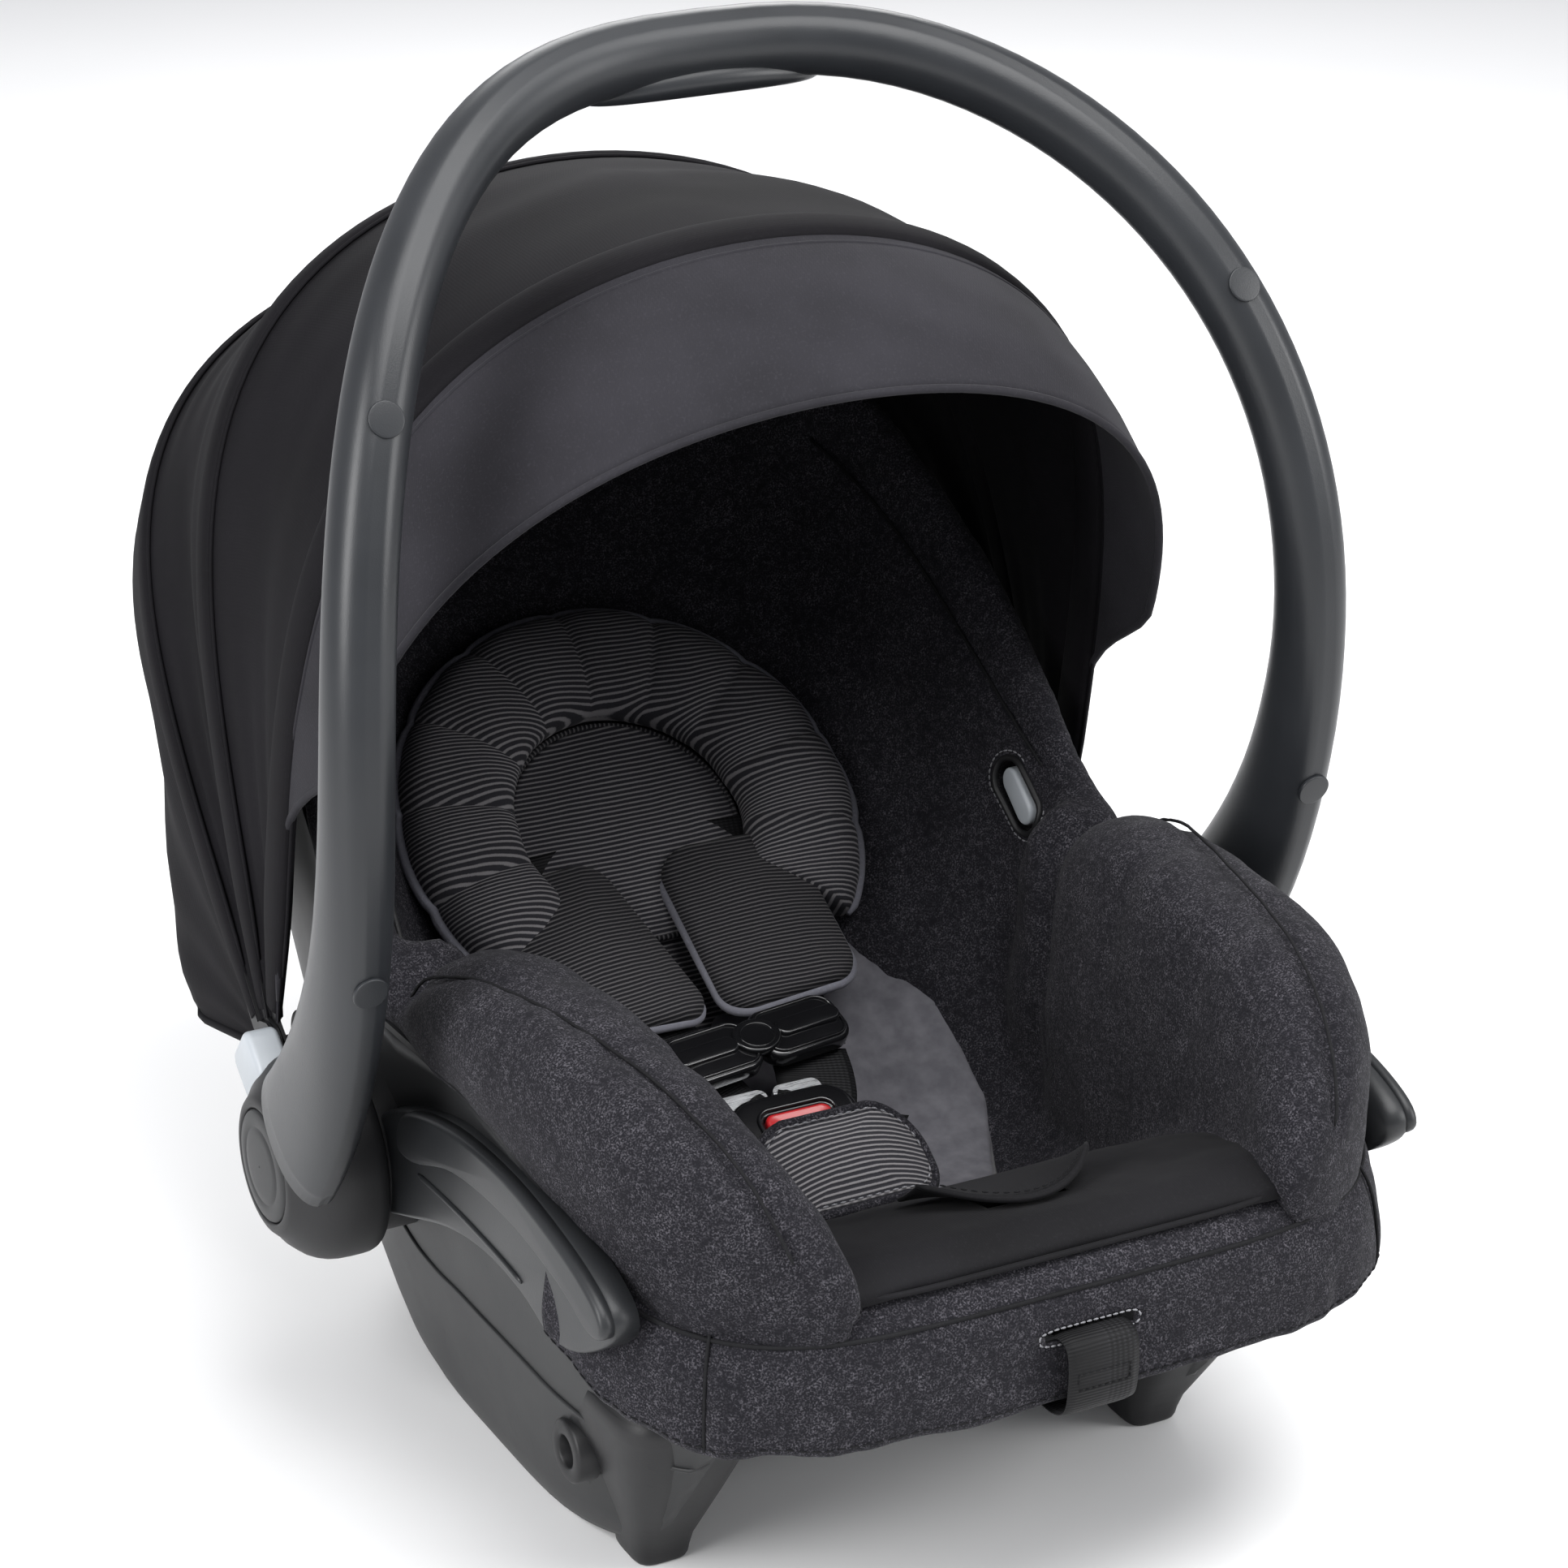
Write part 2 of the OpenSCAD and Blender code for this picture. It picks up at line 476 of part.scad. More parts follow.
// Round plugs over the tube's screws, on the inner face of both arms.
plug_heights = [123, 322];
module screw_plugs() {
    for (z = plug_heights) for (side = [-1, 1]) on_side(side)
        let (i = nearest(z), p = hoop_side[i], t = tangent(hoop_side, i),
            m = [0, p[1] - bow_y, p[2] - hub_z - bow_z], a = unit(m - t * (m * t)))
        color(plastic) translate(p + a * (tube_a(p[2] - hub_z) - 1.5)) multmatrix(frame_on(a))
            cylinder(r = 7, h = 2.2, $fn = 40);
}
function nearest(z) = min([for (i = [0:len(hoop_side) - 1]) if (hoop_side[i][2] - hub_z >= z) i]);
// Matrix that turns +Z onto the direction d.
function frame_on(d) = let (x = unit(cross([1, 0, 0.01], d)), y = cross(d, x))
    [[x[0], y[0], d[0], 0], [x[1], y[1], d[1], 0], [x[2], y[2], d[2], 0], [0, 0, 0, 1]];

adapter_at = [148, 20, 207];
module adapter_button() {
    color(grey) translate(adapter_at) rotate([recline, 0, 0]) translate([-3, 0, 0]) rotate([0, 90, 0])
        linear_extrude(8) hull() for (y = [-7, 7]) translate([0, y]) circle(6.5, $fn = 32);
}

// ---------------------------------------------------------------- canopy
fold_at = [50, 150];     // y and z of the canopy axis
panel_foot = 12.5;       // panels stop this far from the axis
eye_pad = [[-11, 3.3], [-8.5, 7.7], [-4.5, 10.6], [0, 11.5], [4.5, 10.6], [8.5, 7.7]];  // [along, half width]
fold_pin_r = 4;          // pins that the bows turn on
arch_n = 4.65;           // squareness of the arches
arch_steps = 14;         // points on each half of an arch
bow_w = 9;               // width of the bows, along the canopy
rear_front = 47;         // angles from level, towards the feet
mid_span = [47.6, 70];
front_span = [67, 101];
// Half width left at a distance d from the axis, for an arch of reach r and half width w.
function arch_x(d, r, w) = w * sqrt(max(0, 1 - pow(d / r, arch_n)));
// One point of an arch at distance d, drawn in the plane at an angle from level.
function arch_point(d, side, r, w, angle) = [side * arch_x(abs(d), r, w),
    fold_at[0] + d * cos(angle), fold_at[1] + d * sin(angle)];
function arch_d(i, r, foot) = i == 0 ? foot : r * sin(90 * i / arch_steps);
// A whole arch from one foot over the crown to the other; its angle may change by sweep on the way.
function arch_side(side, r, w, angle, sweep, foot) = [for (i = [0:arch_steps])
    arch_point(arch_d(i, r, foot), side, r, w, angle + sweep * sweep_at(i))];
function arch(r, w, angle, foot, sweep = 0) = let (right = arch_side(1, r, w, angle, sweep, foot))
    concat(arch_side(-1, r, w, angle, sweep, foot), [for (i = [arch_steps - 1:-1:0]) right[i]]);
// A sweep is nothing near the foot of an arch and full from a third of the way up.
function sweep_at(i) = let (t = min(1, max(0, (i / arch_steps - 0.19) / 0.16))) t * t * (3 - 2 * t);
function turned(rows) = [for (i = [0:len(rows[0]) - 1]) [for (k = [0:len(rows) - 1]) rows[k][i]]];
function reach(level) = canopy_r - level * nest;
function width(level) = canopy_w - level * (fabric_t + 0.5);
// Panel between arches, each given as [angle, reach lost, sweep, width lost].
module canopy_panel(level, arches) {
    function skin(t) = turned([for (a = arches)
        let (flat = arch(reach(level) - a[1] - t, width(level) - t, a[0], panel_foot, a[2]))
        [for (i = [0:len(flat) - 1]) let (p = flat[i], in = a[3] * sweep_at(min(i, 2 * arch_steps - i)))
            [p[0] * (1 - in / canopy_w), p[1], p[2]]]]);
    color(black) slab(skin(fabric_t), skin(0));
}
function even(from, to, n) = [for (k = [0:n]) [mix(from, to, k / n), 0, 0, 0]];
// The rear lobe runs from the rear bow down round the head end; near the axis its hem drops.
module canopy_rear() {
    canopy_panel(0, [[-14, 84, 24, 30], [-11, 52, 25, 23], [-5, 24, 24, 17], [4, 8, 20, 12],
        [16, 2, 14, 7], [30, 0, 6, 3], [39, 0, 2, 1], [rear_front, 0, 0, 0]]);
}
module canopy_mid() canopy_panel(1, even(mid_span[0], mid_span[1], 4));
module canopy_front() canopy_panel(2, concat(even(front_span[0], front_span[1], 5),
    [[front_span[1], 1, 4, 0], [front_span[1], 5, 9.5, 0], [front_span[1], 14, 15.5, 0]]));
// Flat plastic bow at the front edge of a panel, with a round eye on the canopy axis at each end.
// Each row of a side holds its front point and its back point, from the foot up.
function bow_side(side, r, w, angle) = let (ahead = [0, -sin(angle), cos(angle)]) concat(
    [for (q = eye_pad) let (p = arch_point(q[0], side, r, w, angle)) [p + ahead * q[1], p - ahead * q[1]]],
    [for (p = arch_side(side, r, w, angle, 0, panel_foot)) [p, p - ahead * bow_w]]);
function bow_rows(r, w, angle) = let (right = bow_side(1, r, w, angle))
    concat(bow_side(-1, r, w, angle), [for (i = [len(right) - 2:-1:0]) right[i]]);
module canopy_bow(level, angle) {
    color(plastic) difference() {
        slab(bow_rows(reach(level) - fabric_t, width(level) - fabric_t, angle),
            bow_rows(reach(level), width(level), angle));
        translate([-200, fold_at[0], fold_at[1]]) rotate([0, 90, 0])
            cylinder(r = fold_pin_r + 0.05, h = 400, $fn = 64);
    }
}
module bow_rear() canopy_bow(0, rear_front);
module bow_mid() canopy_bow(1, mid_span[1]);
module bow_front() canopy_bow(2, front_span[1]);
module canopy_socket() {
    color(black) translate([156, fold_at[0], fold_at[1]]) rotate([0, 90, 0]) {
        cylinder(r = 13, h = 18, $fn = 64);
        cylinder(r = fold_pin_r, h = 34, $fn = 64);
    }
}

placed() shell();
placed() seat_tub();
placed() foam_liner();
placed() on_side(1) belt_guide();  // belt_guide_left
placed() on_side(-1) belt_guide();  // belt_guide_right
placed() on_side(1) front_foot();  // front_foot_left
placed() on_side(-1) front_foot();  // front_foot_right
placed() latch_bar(bar_front);  // latch_bar_front
placed() latch_bar(bar_rear);  // latch_bar_rear
placed() on_side(1) frame_socket();  // frame_socket_left
placed() on_side(-1) frame_socket();  // frame_socket_right
placed() on_side(1) hub_mount();  // hub_mount_left
placed() on_side(-1) hub_mount();  // hub_mount_right
placed() on_side(1) pivot_pin();  // pivot_pin_left
placed() on_side(-1) pivot_pin();  // pivot_pin_right
placed() on_side(1) canopy_socket();  // canopy_socket_left
placed() on_side(-1) canopy_socket();  // canopy_socket_right
placed() seat_cover();
placed() rim_cover();
placed() on_side(1) bolster();  // bolster_left
placed() on_side(-1) bolster();  // bolster_right
placed() front_cover();
placed() front_pad();
placed() pad_flap();
placed() body_insert();
placed() pillow_ring();
placed() pillow_centre();
placed() on_side(1) shoulder_strap();  // shoulder_strap_left
placed() on_side(-1) shoulder_strap();  // shoulder_strap_right
placed() lap_strap(1);  // lap_strap_left
placed() lap_strap(-1);  // lap_strap_right
placed() crotch_strap();
placed() on_side(1) shoulder_pad();  // shoulder_pad_left
placed() on_side(-1) shoulder_pad();  // shoulder_pad_right
placed() chest_half(1);  // chest_clip_left
placed() chest_half(-1);  // chest_clip_right
placed() chest_clip_button();
placed() buckle_body();
placed() buckle_tongues();
placed() buckle_button();
placed() crotch_pad();
placed() adjuster_housing();
placed() adjuster_button();
placed() adjuster_strap();
placed() handle_tube();
placed() handle_grip();
placed() on_side(1) hub();  // hub_left
placed() on_side(-1) hub();  // hub_right
placed() hub_caps();
placed() screw_plugs();
placed() on_side(1) handle_button();  // handle_button_left
placed() on_side(-1) handle_button();  // handle_button_right
placed() on_side(1) adapter_button();  // adapter_button_left
placed() on_side(-1) adapter_button();  // adapter_button_right
placed() canopy_rear();
placed() canopy_mid();
placed() canopy_front();
placed() bow_rear();
placed() bow_mid();
placed() bow_front();
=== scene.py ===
# Detailed look of the infant car seat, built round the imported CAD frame. Metres; the CAD sets every place.
import math
import random

import bpy
import numpy as np
from mathutils import Matrix, Vector, noise
from mathutils.bvhtree import BVHTree


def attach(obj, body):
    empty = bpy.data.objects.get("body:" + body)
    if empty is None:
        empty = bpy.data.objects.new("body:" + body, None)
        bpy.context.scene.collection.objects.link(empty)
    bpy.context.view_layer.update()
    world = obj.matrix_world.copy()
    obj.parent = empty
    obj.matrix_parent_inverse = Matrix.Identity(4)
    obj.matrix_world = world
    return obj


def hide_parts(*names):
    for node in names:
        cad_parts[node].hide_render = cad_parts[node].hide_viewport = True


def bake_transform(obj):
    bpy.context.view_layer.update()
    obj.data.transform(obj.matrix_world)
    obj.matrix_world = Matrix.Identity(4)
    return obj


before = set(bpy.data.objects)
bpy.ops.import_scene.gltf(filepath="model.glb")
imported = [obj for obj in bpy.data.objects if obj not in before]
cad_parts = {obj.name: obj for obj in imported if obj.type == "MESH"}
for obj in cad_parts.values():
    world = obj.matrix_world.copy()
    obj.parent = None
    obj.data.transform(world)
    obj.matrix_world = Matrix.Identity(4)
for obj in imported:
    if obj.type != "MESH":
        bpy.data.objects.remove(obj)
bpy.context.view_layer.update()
random.seed(4)


def P(x, y, z):
    """Point in millimetres from the handle axis, as metres in the row frame."""
    return Vector((x / 1000, (y - 32) / 1000, z / 1000))


# ---------------------------------------------------------------- materials
class Mat:
    """A Principled material with a short way to add nodes."""

    def __init__(self, name, color, rough, metal=0.0, sheen=0.0, coat=0.0, specular=0.5):
        self.m = bpy.data.materials.new(name)
        self.m.use_nodes = True
        self.t = self.m.node_tree
        self.b = self.t.nodes["Principled BSDF"]
        for socket, value in (("Base Color", (*color, 1)), ("Roughness", rough), ("Metallic", metal),
                              ("Sheen Weight", sheen), ("Sheen Roughness", 0.45), ("Coat Weight", coat),
                              ("Coat Roughness", 0.12), ("Specular IOR Level", specular)):
            self.b.inputs[socket].default_value = value
        self.color = color

    def node(self, kind, inputs=None, **settings):
        n = self.t.nodes.new("ShaderNode" + kind)
        for key, value in settings.items():
            setattr(n, key, value)
        for key, value in (inputs or {}).items():
            if isinstance(value, bpy.types.NodeSocket):
                self.t.links.new(value, n.inputs[key])
            else:
                n.inputs[key].default_value = value
        return n.outputs

    def coords(self, uv=False):
        return self.node("TexCoord")["UV" if uv else "Object"]

    def noise(self, where, scale, detail=3.0, stretch=None):
        if stretch:
            where = self.node("Mapping", {"Vector": where, "Scale": stretch})[0]
        return self.node("TexNoise", {"Vector": where, "Scale": scale, "Detail": detail})[0]

    def math(self, op, a, b=0.0):
        return self.node("Math", {0: a, 1: b}, operation=op)[0]

    def band(self, axis_value, pitch):
        """A wave from 0 to 1 along a coordinate in metres."""
        wave = self.math("SINE", self.math("MULTIPLY", axis_value, 2 * math.pi / pitch))
        return self.math("ADD", self.math("MULTIPLY", wave, 0.5), 0.5)

    def split(self, where):
        return self.node("SeparateXYZ", {0: where})

    def ramp(self, fac, low, high, a=0.0, b=1.0):
        return self.node("MapRange", {0: fac, 1: low, 2: high, 3: a, 4: b})[0]

    def mix(self, fac, a, b):
        n = self.t.nodes.new("ShaderNodeMix")
        n.data_type = "RGBA"
        for key, value in ((0, fac), (6, a), (7, b)):
            if isinstance(value, bpy.types.NodeSocket):
                self.t.links.new(value, n.inputs[key])
            else:
                n.inputs[key].default_value = (*value, 1) if key else value
        return n.outputs[2]

    def set(self, socket, value):
        self.t.links.new(value, self.b.inputs[socket])
        return self

    def bump(self, height, strength, distance):
        if self.b.inputs["Normal"].is_linked:
            before = self.b.inputs["Normal"].links[0].from_socket
            out = self.node("Bump",
                    {"Height": height, "Strength": strength, "Distance": distance, "Normal": before})[0]
        else:
            out = self.node("Bump", {"Height": height, "Strength": strength, "Distance": distance})[0]
        self.t.links.new(out, self.b.inputs["Normal"])
        return self


def plastic(name, color, rough, grain=0.35, coat=0.0, spec=0.5):
    """Moulded plastic: fine grain, handling marks and a little colour drift."""
    k = Mat(name, color, rough, coat=coat, specular=spec)
    at = k.coords()
    fine = k.noise(at, 1700, 2)
    smear = k.noise(at, 14, 5)
    scratch = k.noise(at, 60, 4, (1, 14, 3))
    k.set("Base Color",
          k.mix(k.ramp(smear, 0.35, 0.7), tuple(c * 0.86 for c in color), tuple(c * 1.16 for c in color)))
    wear = k.math("ADD", k.ramp(smear, 0.3, 0.75, rough - 0.05, rough + 0.07),
                  k.ramp(scratch, 0.62, 0.8, 0.0, 0.06))
    k.set("Roughness", wear)
    return k.bump(fine, grain, 0.00012).bump(k.noise(at, 9, 2), 0.25, 0.0006).m


def heather():
    k = Mat("heather_fabric", (0.03, 0.029, 0.035), 0.95, sheen=0.03, specular=0.15)
    at = k.coords()
    fleck = k.noise(at, 1400, 2.5)
    cross = k.noise(at, 620, 2, (1.0, 1.0, 2.2))
    cloud = k.noise(at, 330, 3)
    broad = k.noise(at, 60, 3)
    light = k.math("MULTIPLY", k.ramp(fleck, 0.47, 0.68),
                   k.ramp(k.math("ADD", cloud, k.math("MULTIPLY", broad, 0.5)), 0.52, 0.98))
    base = k.mix(light, (0.0085, 0.0083, 0.0108), (0.088, 0.084, 0.096))
    k.set("Base Color", k.mix(k.ramp(cross, 0.6, 0.8, 0.0, 0.5), base, (0.06, 0.057, 0.067)))
    cells = k.node("TexVoronoi", {"Vector": at, "Scale": 1150.0})[0]
    k.bump(cells, 0.5, 0.00035).bump(k.noise(at, 140, 3), 0.25, 0.0008)
    return k.m


def knit(name, color, rough=0.85, sheen=0.05, pitch=0.0007):
    """Smooth stretch cloth with fine wales and a faint pull across them."""
    k = Mat(name, color, rough, sheen=sheen, specular=0.13)
    at, uv = k.coords(), k.split(k.coords(True))
    diagonal = k.band(k.math("ADD", uv[0], uv[1]), pitch)
    rib = k.band(uv[0], pitch * 1.7)
    k.bump(diagonal, 0.3, 0.00012).bump(rib, 0.18, 0.0001).bump(k.noise(at, 30, 4), 0.12, 0.0012)
    tone = k.ramp(k.noise(at, 16, 4), 0.3, 0.75)
    dark, lit = tuple(c * 0.75 for c in color), tuple(c * 1.35 for c in color)
    base = k.mix(tone, dark, lit)
    k.set("Base Color",
          k.mix(k.ramp(k.noise(at, 900, 2), 0.55, 0.8, 0.0, 0.35), base,
                tuple(c * 2.2 + 0.004 for c in color)))
    return k.m


def striped(name, pitch=0.0023, bright=1.0):
    """Rib knit with pale lines on charcoal."""
    k = Mat(name, (0.06, 0.06, 0.065), 0.92, sheen=0.04, specular=0.2)
    at, uv = k.coords(), k.split(k.coords(True))
    wobble = k.math("MULTIPLY", k.noise(at, 45, 2), 0.0011)
    line = k.band(k.math("ADD", uv[1], wobble), pitch)
    yarn = k.noise(at, 1500, 2)
    thick = k.ramp(k.math("ADD", line, k.math("MULTIPLY", yarn, 0.35)), 0.72, 1.05)
    k.set("Base Color",
          k.mix(thick, (0.024 * bright, 0.0235 * bright, 0.028 * bright),
                (0.2 * bright, 0.192 * bright, 0.198 * bright)))
    k.bump(line, 0.55, 0.0005).bump(k.band(uv[0], 0.0009), 0.2, 0.00015).bump(k.noise(at, 60, 3), 0.2, 0.0009)
    return k.m


def webbing():
    k = Mat("webbing", (0.008, 0.008, 0.009), 0.62, specular=0.2)
    uv = k.split(k.coords(True))
    ribs = k.band(uv[1], 0.0013)
    chevron = k.band(k.math("ADD", uv[0],
            k.math("MULTIPLY", k.math("ABSOLUTE", k.math("SUBTRACT", uv[0], 0.017)), 0.9)), 0.0042)
    k.set("Base Color",
          k.mix(k.math("MULTIPLY", ribs, chevron), (0.004, 0.004, 0.0045), (0.017, 0.017, 0.019)))
    k.bump(ribs, 0.6, 0.0003).bump(chevron, 0.3, 0.0003)
    return k.m


def suede():
    k = Mat("suede_fabric", (0.11, 0.108, 0.122), 0.95, sheen=0.15, specular=0.15)
    at = k.coords()
    nap = k.noise(at, 120, 5)
    k.set("Base Color", k.mix(k.ramp(nap, 0.35, 0.7), (0.11, 0.108, 0.122), (0.165, 0.161, 0.178)))
    k.bump(k.noise(at, 1800, 3), 0.3, 0.0002).bump(k.noise(at, 35, 3), 0.2, 0.001)
    return k.m


def metal():
    k = Mat("steel", (0.6, 0.61, 0.63), 0.32, metal=1.0)
    at = k.coords()
    k.set("Roughness", k.ramp(k.noise(at, 120, 4, (1, 30, 30)), 0.3, 0.7, 0.22, 0.42))
    return k.bump(k.noise(at, 300, 2, (1, 20, 20)), 0.1, 0.0001).m


def foam():
    k = Mat("foam", (0.7, 0.7, 0.72), 0.9)
    at = k.coords()
    cells = k.node("TexVoronoi", {"Vector": at, "Scale": 350.0})[0]
    k.set("Base Color", k.mix(cells, (0.6, 0.6, 0.63), (0.8, 0.8, 0.82)))
    return k.bump(cells, 0.4, 0.0006).m


M = {
    "shell": plastic("shell_plastic", (0.0165, 0.017, 0.018), 0.46, spec=0.3),
    "handle": plastic("handle_plastic", (0.0165, 0.018, 0.0205), 0.36, 0.3, spec=0.36),
    "guide": plastic("guide_plastic", (0.015, 0.016, 0.0175), 0.38, 0.25, spec=0.36),
    "black": plastic("black_plastic", (0.010, 0.010, 0.011), 0.48, spec=0.34),
    "gloss": plastic("buckle_plastic", (0.007, 0.007, 0.008), 0.17, 0.06, coat=0.4),
    "grey": plastic("grey_plastic", (0.36, 0.385, 0.41), 0.36, 0.15),
    "red": plastic("red_plastic", (0.42, 0.008, 0.012), 0.28, 0.1, coat=0.3),
    "heather": heather(),
    "jersey": knit("jersey_fabric", (0.0058, 0.0056, 0.0068), 0.72, 0.03, 0.0006),
    "canopy": knit("canopy_fabric", (0.0038, 0.0034, 0.0046), 0.78, 0.0, 0.0008),
    "visor": knit("visor_fabric", (0.0185, 0.0178, 0.0215), 0.86, 0.04, 0.0009),
    "stripes": striped("striped_fabric"),
    "ribs": striped("ribbed_fabric", 0.0021, 0.5),
    "suede": suede(),
    "piping": knit("grey_piping", (0.16, 0.16, 0.185), 0.8, 0.1, 0.0009),
    "thread": knit("stitching", (0.009, 0.009, 0.010), 0.8, 0.0, 0.0006),
    "pale": knit("pale_stitching", (0.2, 0.2, 0.215), 0.7, 0.2, 0.0006),
    "webbing": webbing(),
    "steel": metal(),
    "foam": foam(),
}

# ---------------------------------------------------------------- mesh helpers


def finish(name, verts, faces, material, uv=None, smooth=True):
    mesh = bpy.data.meshes.new(name)
    mesh.from_pydata([tuple(v) for v in verts], [], faces)
    mesh.update()
    if uv:
        layer = mesh.uv_layers.new(name="UVMap")
        layer.data.foreach_set("uv", [c for pair in uv for c in pair])
    mesh.polygons.foreach_set("use_smooth", [smooth] * len(mesh.polygons))
    obj = bpy.data.objects.new(name, mesh)
    bpy.context.scene.collection.objects.link(obj)
    mesh.materials.append(material)
    return obj


def grid(name, rows, material, wrap=False, caps=False, uv=None):
    """A sheet or tube through rows of points, with UVs in metres along and across it."""
    n, m = len(rows[0]), len(rows)
    along = [0.0]
    for a, b in zip(rows, rows[1:]):
        along.append(along[-1] + sum((q - p).length for p, q in zip(a, b)) / n)
    around = []
    for row in rows:
        total, line = 0.0, [0.0]
        for j in range(n if wrap else n - 1):
            total += (row[(j + 1) % n] - row[j]).length
            line.append(total)
        around.append(line)
    faces, corner = [], []
    for i in range(m - 1):
        for j in range(n if wrap else n - 1):
            faces.append((i * n + j, i * n + (j + 1) % n, (i + 1) * n + (j + 1) % n, (i + 1) * n + j))
            for r, c in ((i, j), (i, j + 1), (i + 1, j + 1), (i + 1, j)):
                corner.append(uv(r, c % n) if uv else (around[r][c], along[r]))
    if caps:
        for ring, r in ((range(n - 1, -1, -1), 0), (range(n), m - 1)):
            faces.append([r * n + c for c in ring])
            corner += [uv(r, c) if uv else (around[r][c], along[r]) for c in ring]
    return finish(name, [p for row in rows for p in row], faces, material, corner)


def bake(obj):
    deps = bpy.context.evaluated_depsgraph_get()
    mesh = bpy.data.meshes.new_from_object(obj.evaluated_get(deps))
    obj.modifiers.clear()
    obj.data = mesh
    return obj


def modify(obj, kind, **settings):
    mod = obj.modifiers.new(kind.lower(), kind)
    for key, value in settings.items():
        setattr(mod, key, value)
    return bake(obj)


def smooth(obj, level=1):
    return modify(obj, "SUBSURF", levels=level, render_levels=level)


def cut(obj, cutter, solver="EXACT"):
    modify(obj, "BOOLEAN", object=cutter, operation="DIFFERENCE", solver=solver)
    bpy.data.objects.remove(cutter)
    return obj


def place(obj, body, node=None):
    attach(obj, body)
    if node:
        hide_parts(*([node] if isinstance(node, str) else node))
    return obj


def resample(path, step):
    out, left = [path[0].copy()], step
    for a, b in zip(path, path[1:]):
        length = (b - a).length
        while length >= left > 0:
            a = a + (b - a).normalized() * left
            out.append(a.copy())
            length, left = (b - a).length, step
        left -= length
    return out


def curve(points, k=6, closed=False):
    """Catmull-Rom through points."""
    n, out = len(points), []
    for i in range(n if closed else n - 1):
        a, b, c, d = (points[(i + s) % n if closed else min(max(i + s, 0), n - 1)] for s in (-1, 0, 1, 2))
        for j in range(k):
            t = j / k
            out.append(0.5
                    * ((2 * b) + (c - a) * t + (2 * a - 5 * b + 4 * c - d) * t * t
                       + (3 * b - a - 3 * c + d) * t ** 3))
    return out if closed else out + [points[-1].copy()]


def tubes(name, paths, radius, material, sides=8, closed=False, flat=1.0):
    """Round cords along paths, as one mesh with rounded ends."""
    verts, faces, uv = [], [], []
    for path in paths:
        n, start = len(path), len(verts)
        ref, travelled = None, 0.0
        for i, p in enumerate(path):
            a = path[(i - 1) % n] if closed or i else path[0]
            b = path[(i + 1) % n] if closed or i < n - 1 else path[-1]
            t = (b - a).normalized()
            ref = (ref - t * ref.dot(t)).normalized() if ref else t.orthogonal().normalized()
            side = t.cross(ref)
            r = radius * (1.0 if closed or 0 < i < n - 1 else 0.55)
            for k in range(sides):
                w = 2 * math.pi * k / sides
                verts.append(p + ref * math.cos(w) * r + side * math.sin(w) * r * flat)
        for i in range(n if closed else n - 1):
            step = (path[(i + 1) % n] - path[i]).length
            for k in range(sides):
                a, b, d = start + i * sides, start + (i + 1) % n * sides, (k + 1) % sides
                faces.append((a + k, a + d, b + d, b + k))
                arc = 2 * math.pi * radius / sides
                uv += [(k * arc, travelled), ((k + 1) * arc, travelled), ((k + 1) * arc, travelled + step),
                       (k * arc, travelled + step)]
            travelled += step
        if not closed:
            for ring in ([start + k for k in range(sides - 1, -1, -1)],
                         [start + (n - 1) * sides + k for k in range(sides)]):
                faces.append(ring)
                uv += [(0, 0)] * sides
    return finish(name, verts, faces, material, uv)


def dashes(path, length=0.0032, pause=0.0018):
    """Short pieces along a path, one to a stitch."""
    fine = resample(path, 0.0004)
    a, b = int(length / 0.0004), int((length + pause) / 0.0004)
    return [[fine[i], fine[i + a // 2], fine[i + a]] for i in range(0, len(fine) - a - 1, b)]


def surface(obj):
    return BVHTree.FromPolygons([v.co.copy() for v in obj.data.vertices],
                                [list(p.vertices) for p in obj.data.polygons])


def drape(points, tree, lift=0.0):
    out = []
    for p in points:
        where, normal, *_ = tree.find_nearest(p)
        out.append(where + normal * lift)
    return out


def crease(obj, paths, depth, width):
    """Sinks the surface along sewn lines."""
    lines = np.array([tuple(p) for path in paths for p in resample(path, 0.003)])
    co = np.array([v.co for v in obj.data.vertices])
    normals = np.array([v.normal for v in obj.data.vertices])
    for at in range(0, len(co), 4000):
        block = co[at:at + 4000]
        gap = np.sqrt(((block[:, None, :] - lines[None]) ** 2).sum(2)).min(1)
        co[at:at + 4000] = block - normals[at:at + 4000] * (depth * np.exp(-(gap / width) ** 2))[:, None]
    obj.data.vertices.foreach_set("co", co.ravel())
    obj.data.update()
    return obj


def wrinkle(obj, layers):
    """Moves the surface along its normals by noise, given as (scale per metre, height, stretch)."""
    for v in obj.data.vertices:
        total = 0.0
        for scale, height, stretch in layers:
            p = Vector((v.co.x * stretch[0], v.co.y * stretch[1], v.co.z * stretch[2])) * scale
            total += noise.noise(p) * height
        v.co += v.normal * total
    obj.data.update()
    return obj


def ribbon(name, path, width, thick, material, side=Vector((1, 0, 0)), k=10):
    """Flat webbing with rounded edges."""
    rows = []
    for i, p in enumerate(path):
        t = (path[min(i + 1, len(path) - 1)] - path[max(i - 1, 0)]).normalized()
        n = t.cross(side).normalized()
        s = n.cross(t).normalized()
        ring = []
        for q in range(k):
            u = -1 + 2 * q / (k - 1)
            ring.append(p + s * (u * width / 2) + n * thick / 2 * (1 - abs(u) ** 8 * 0.7))
        for q in range(k):
            u = 1 - 2 * q / (k - 1)
            ring.append(p + s * (u * width / 2) - n * thick / 2 * (1 - abs(u) ** 8 * 0.7))
        rows.append(ring)
    return grid(name, rows, material, wrap=True, caps=True)


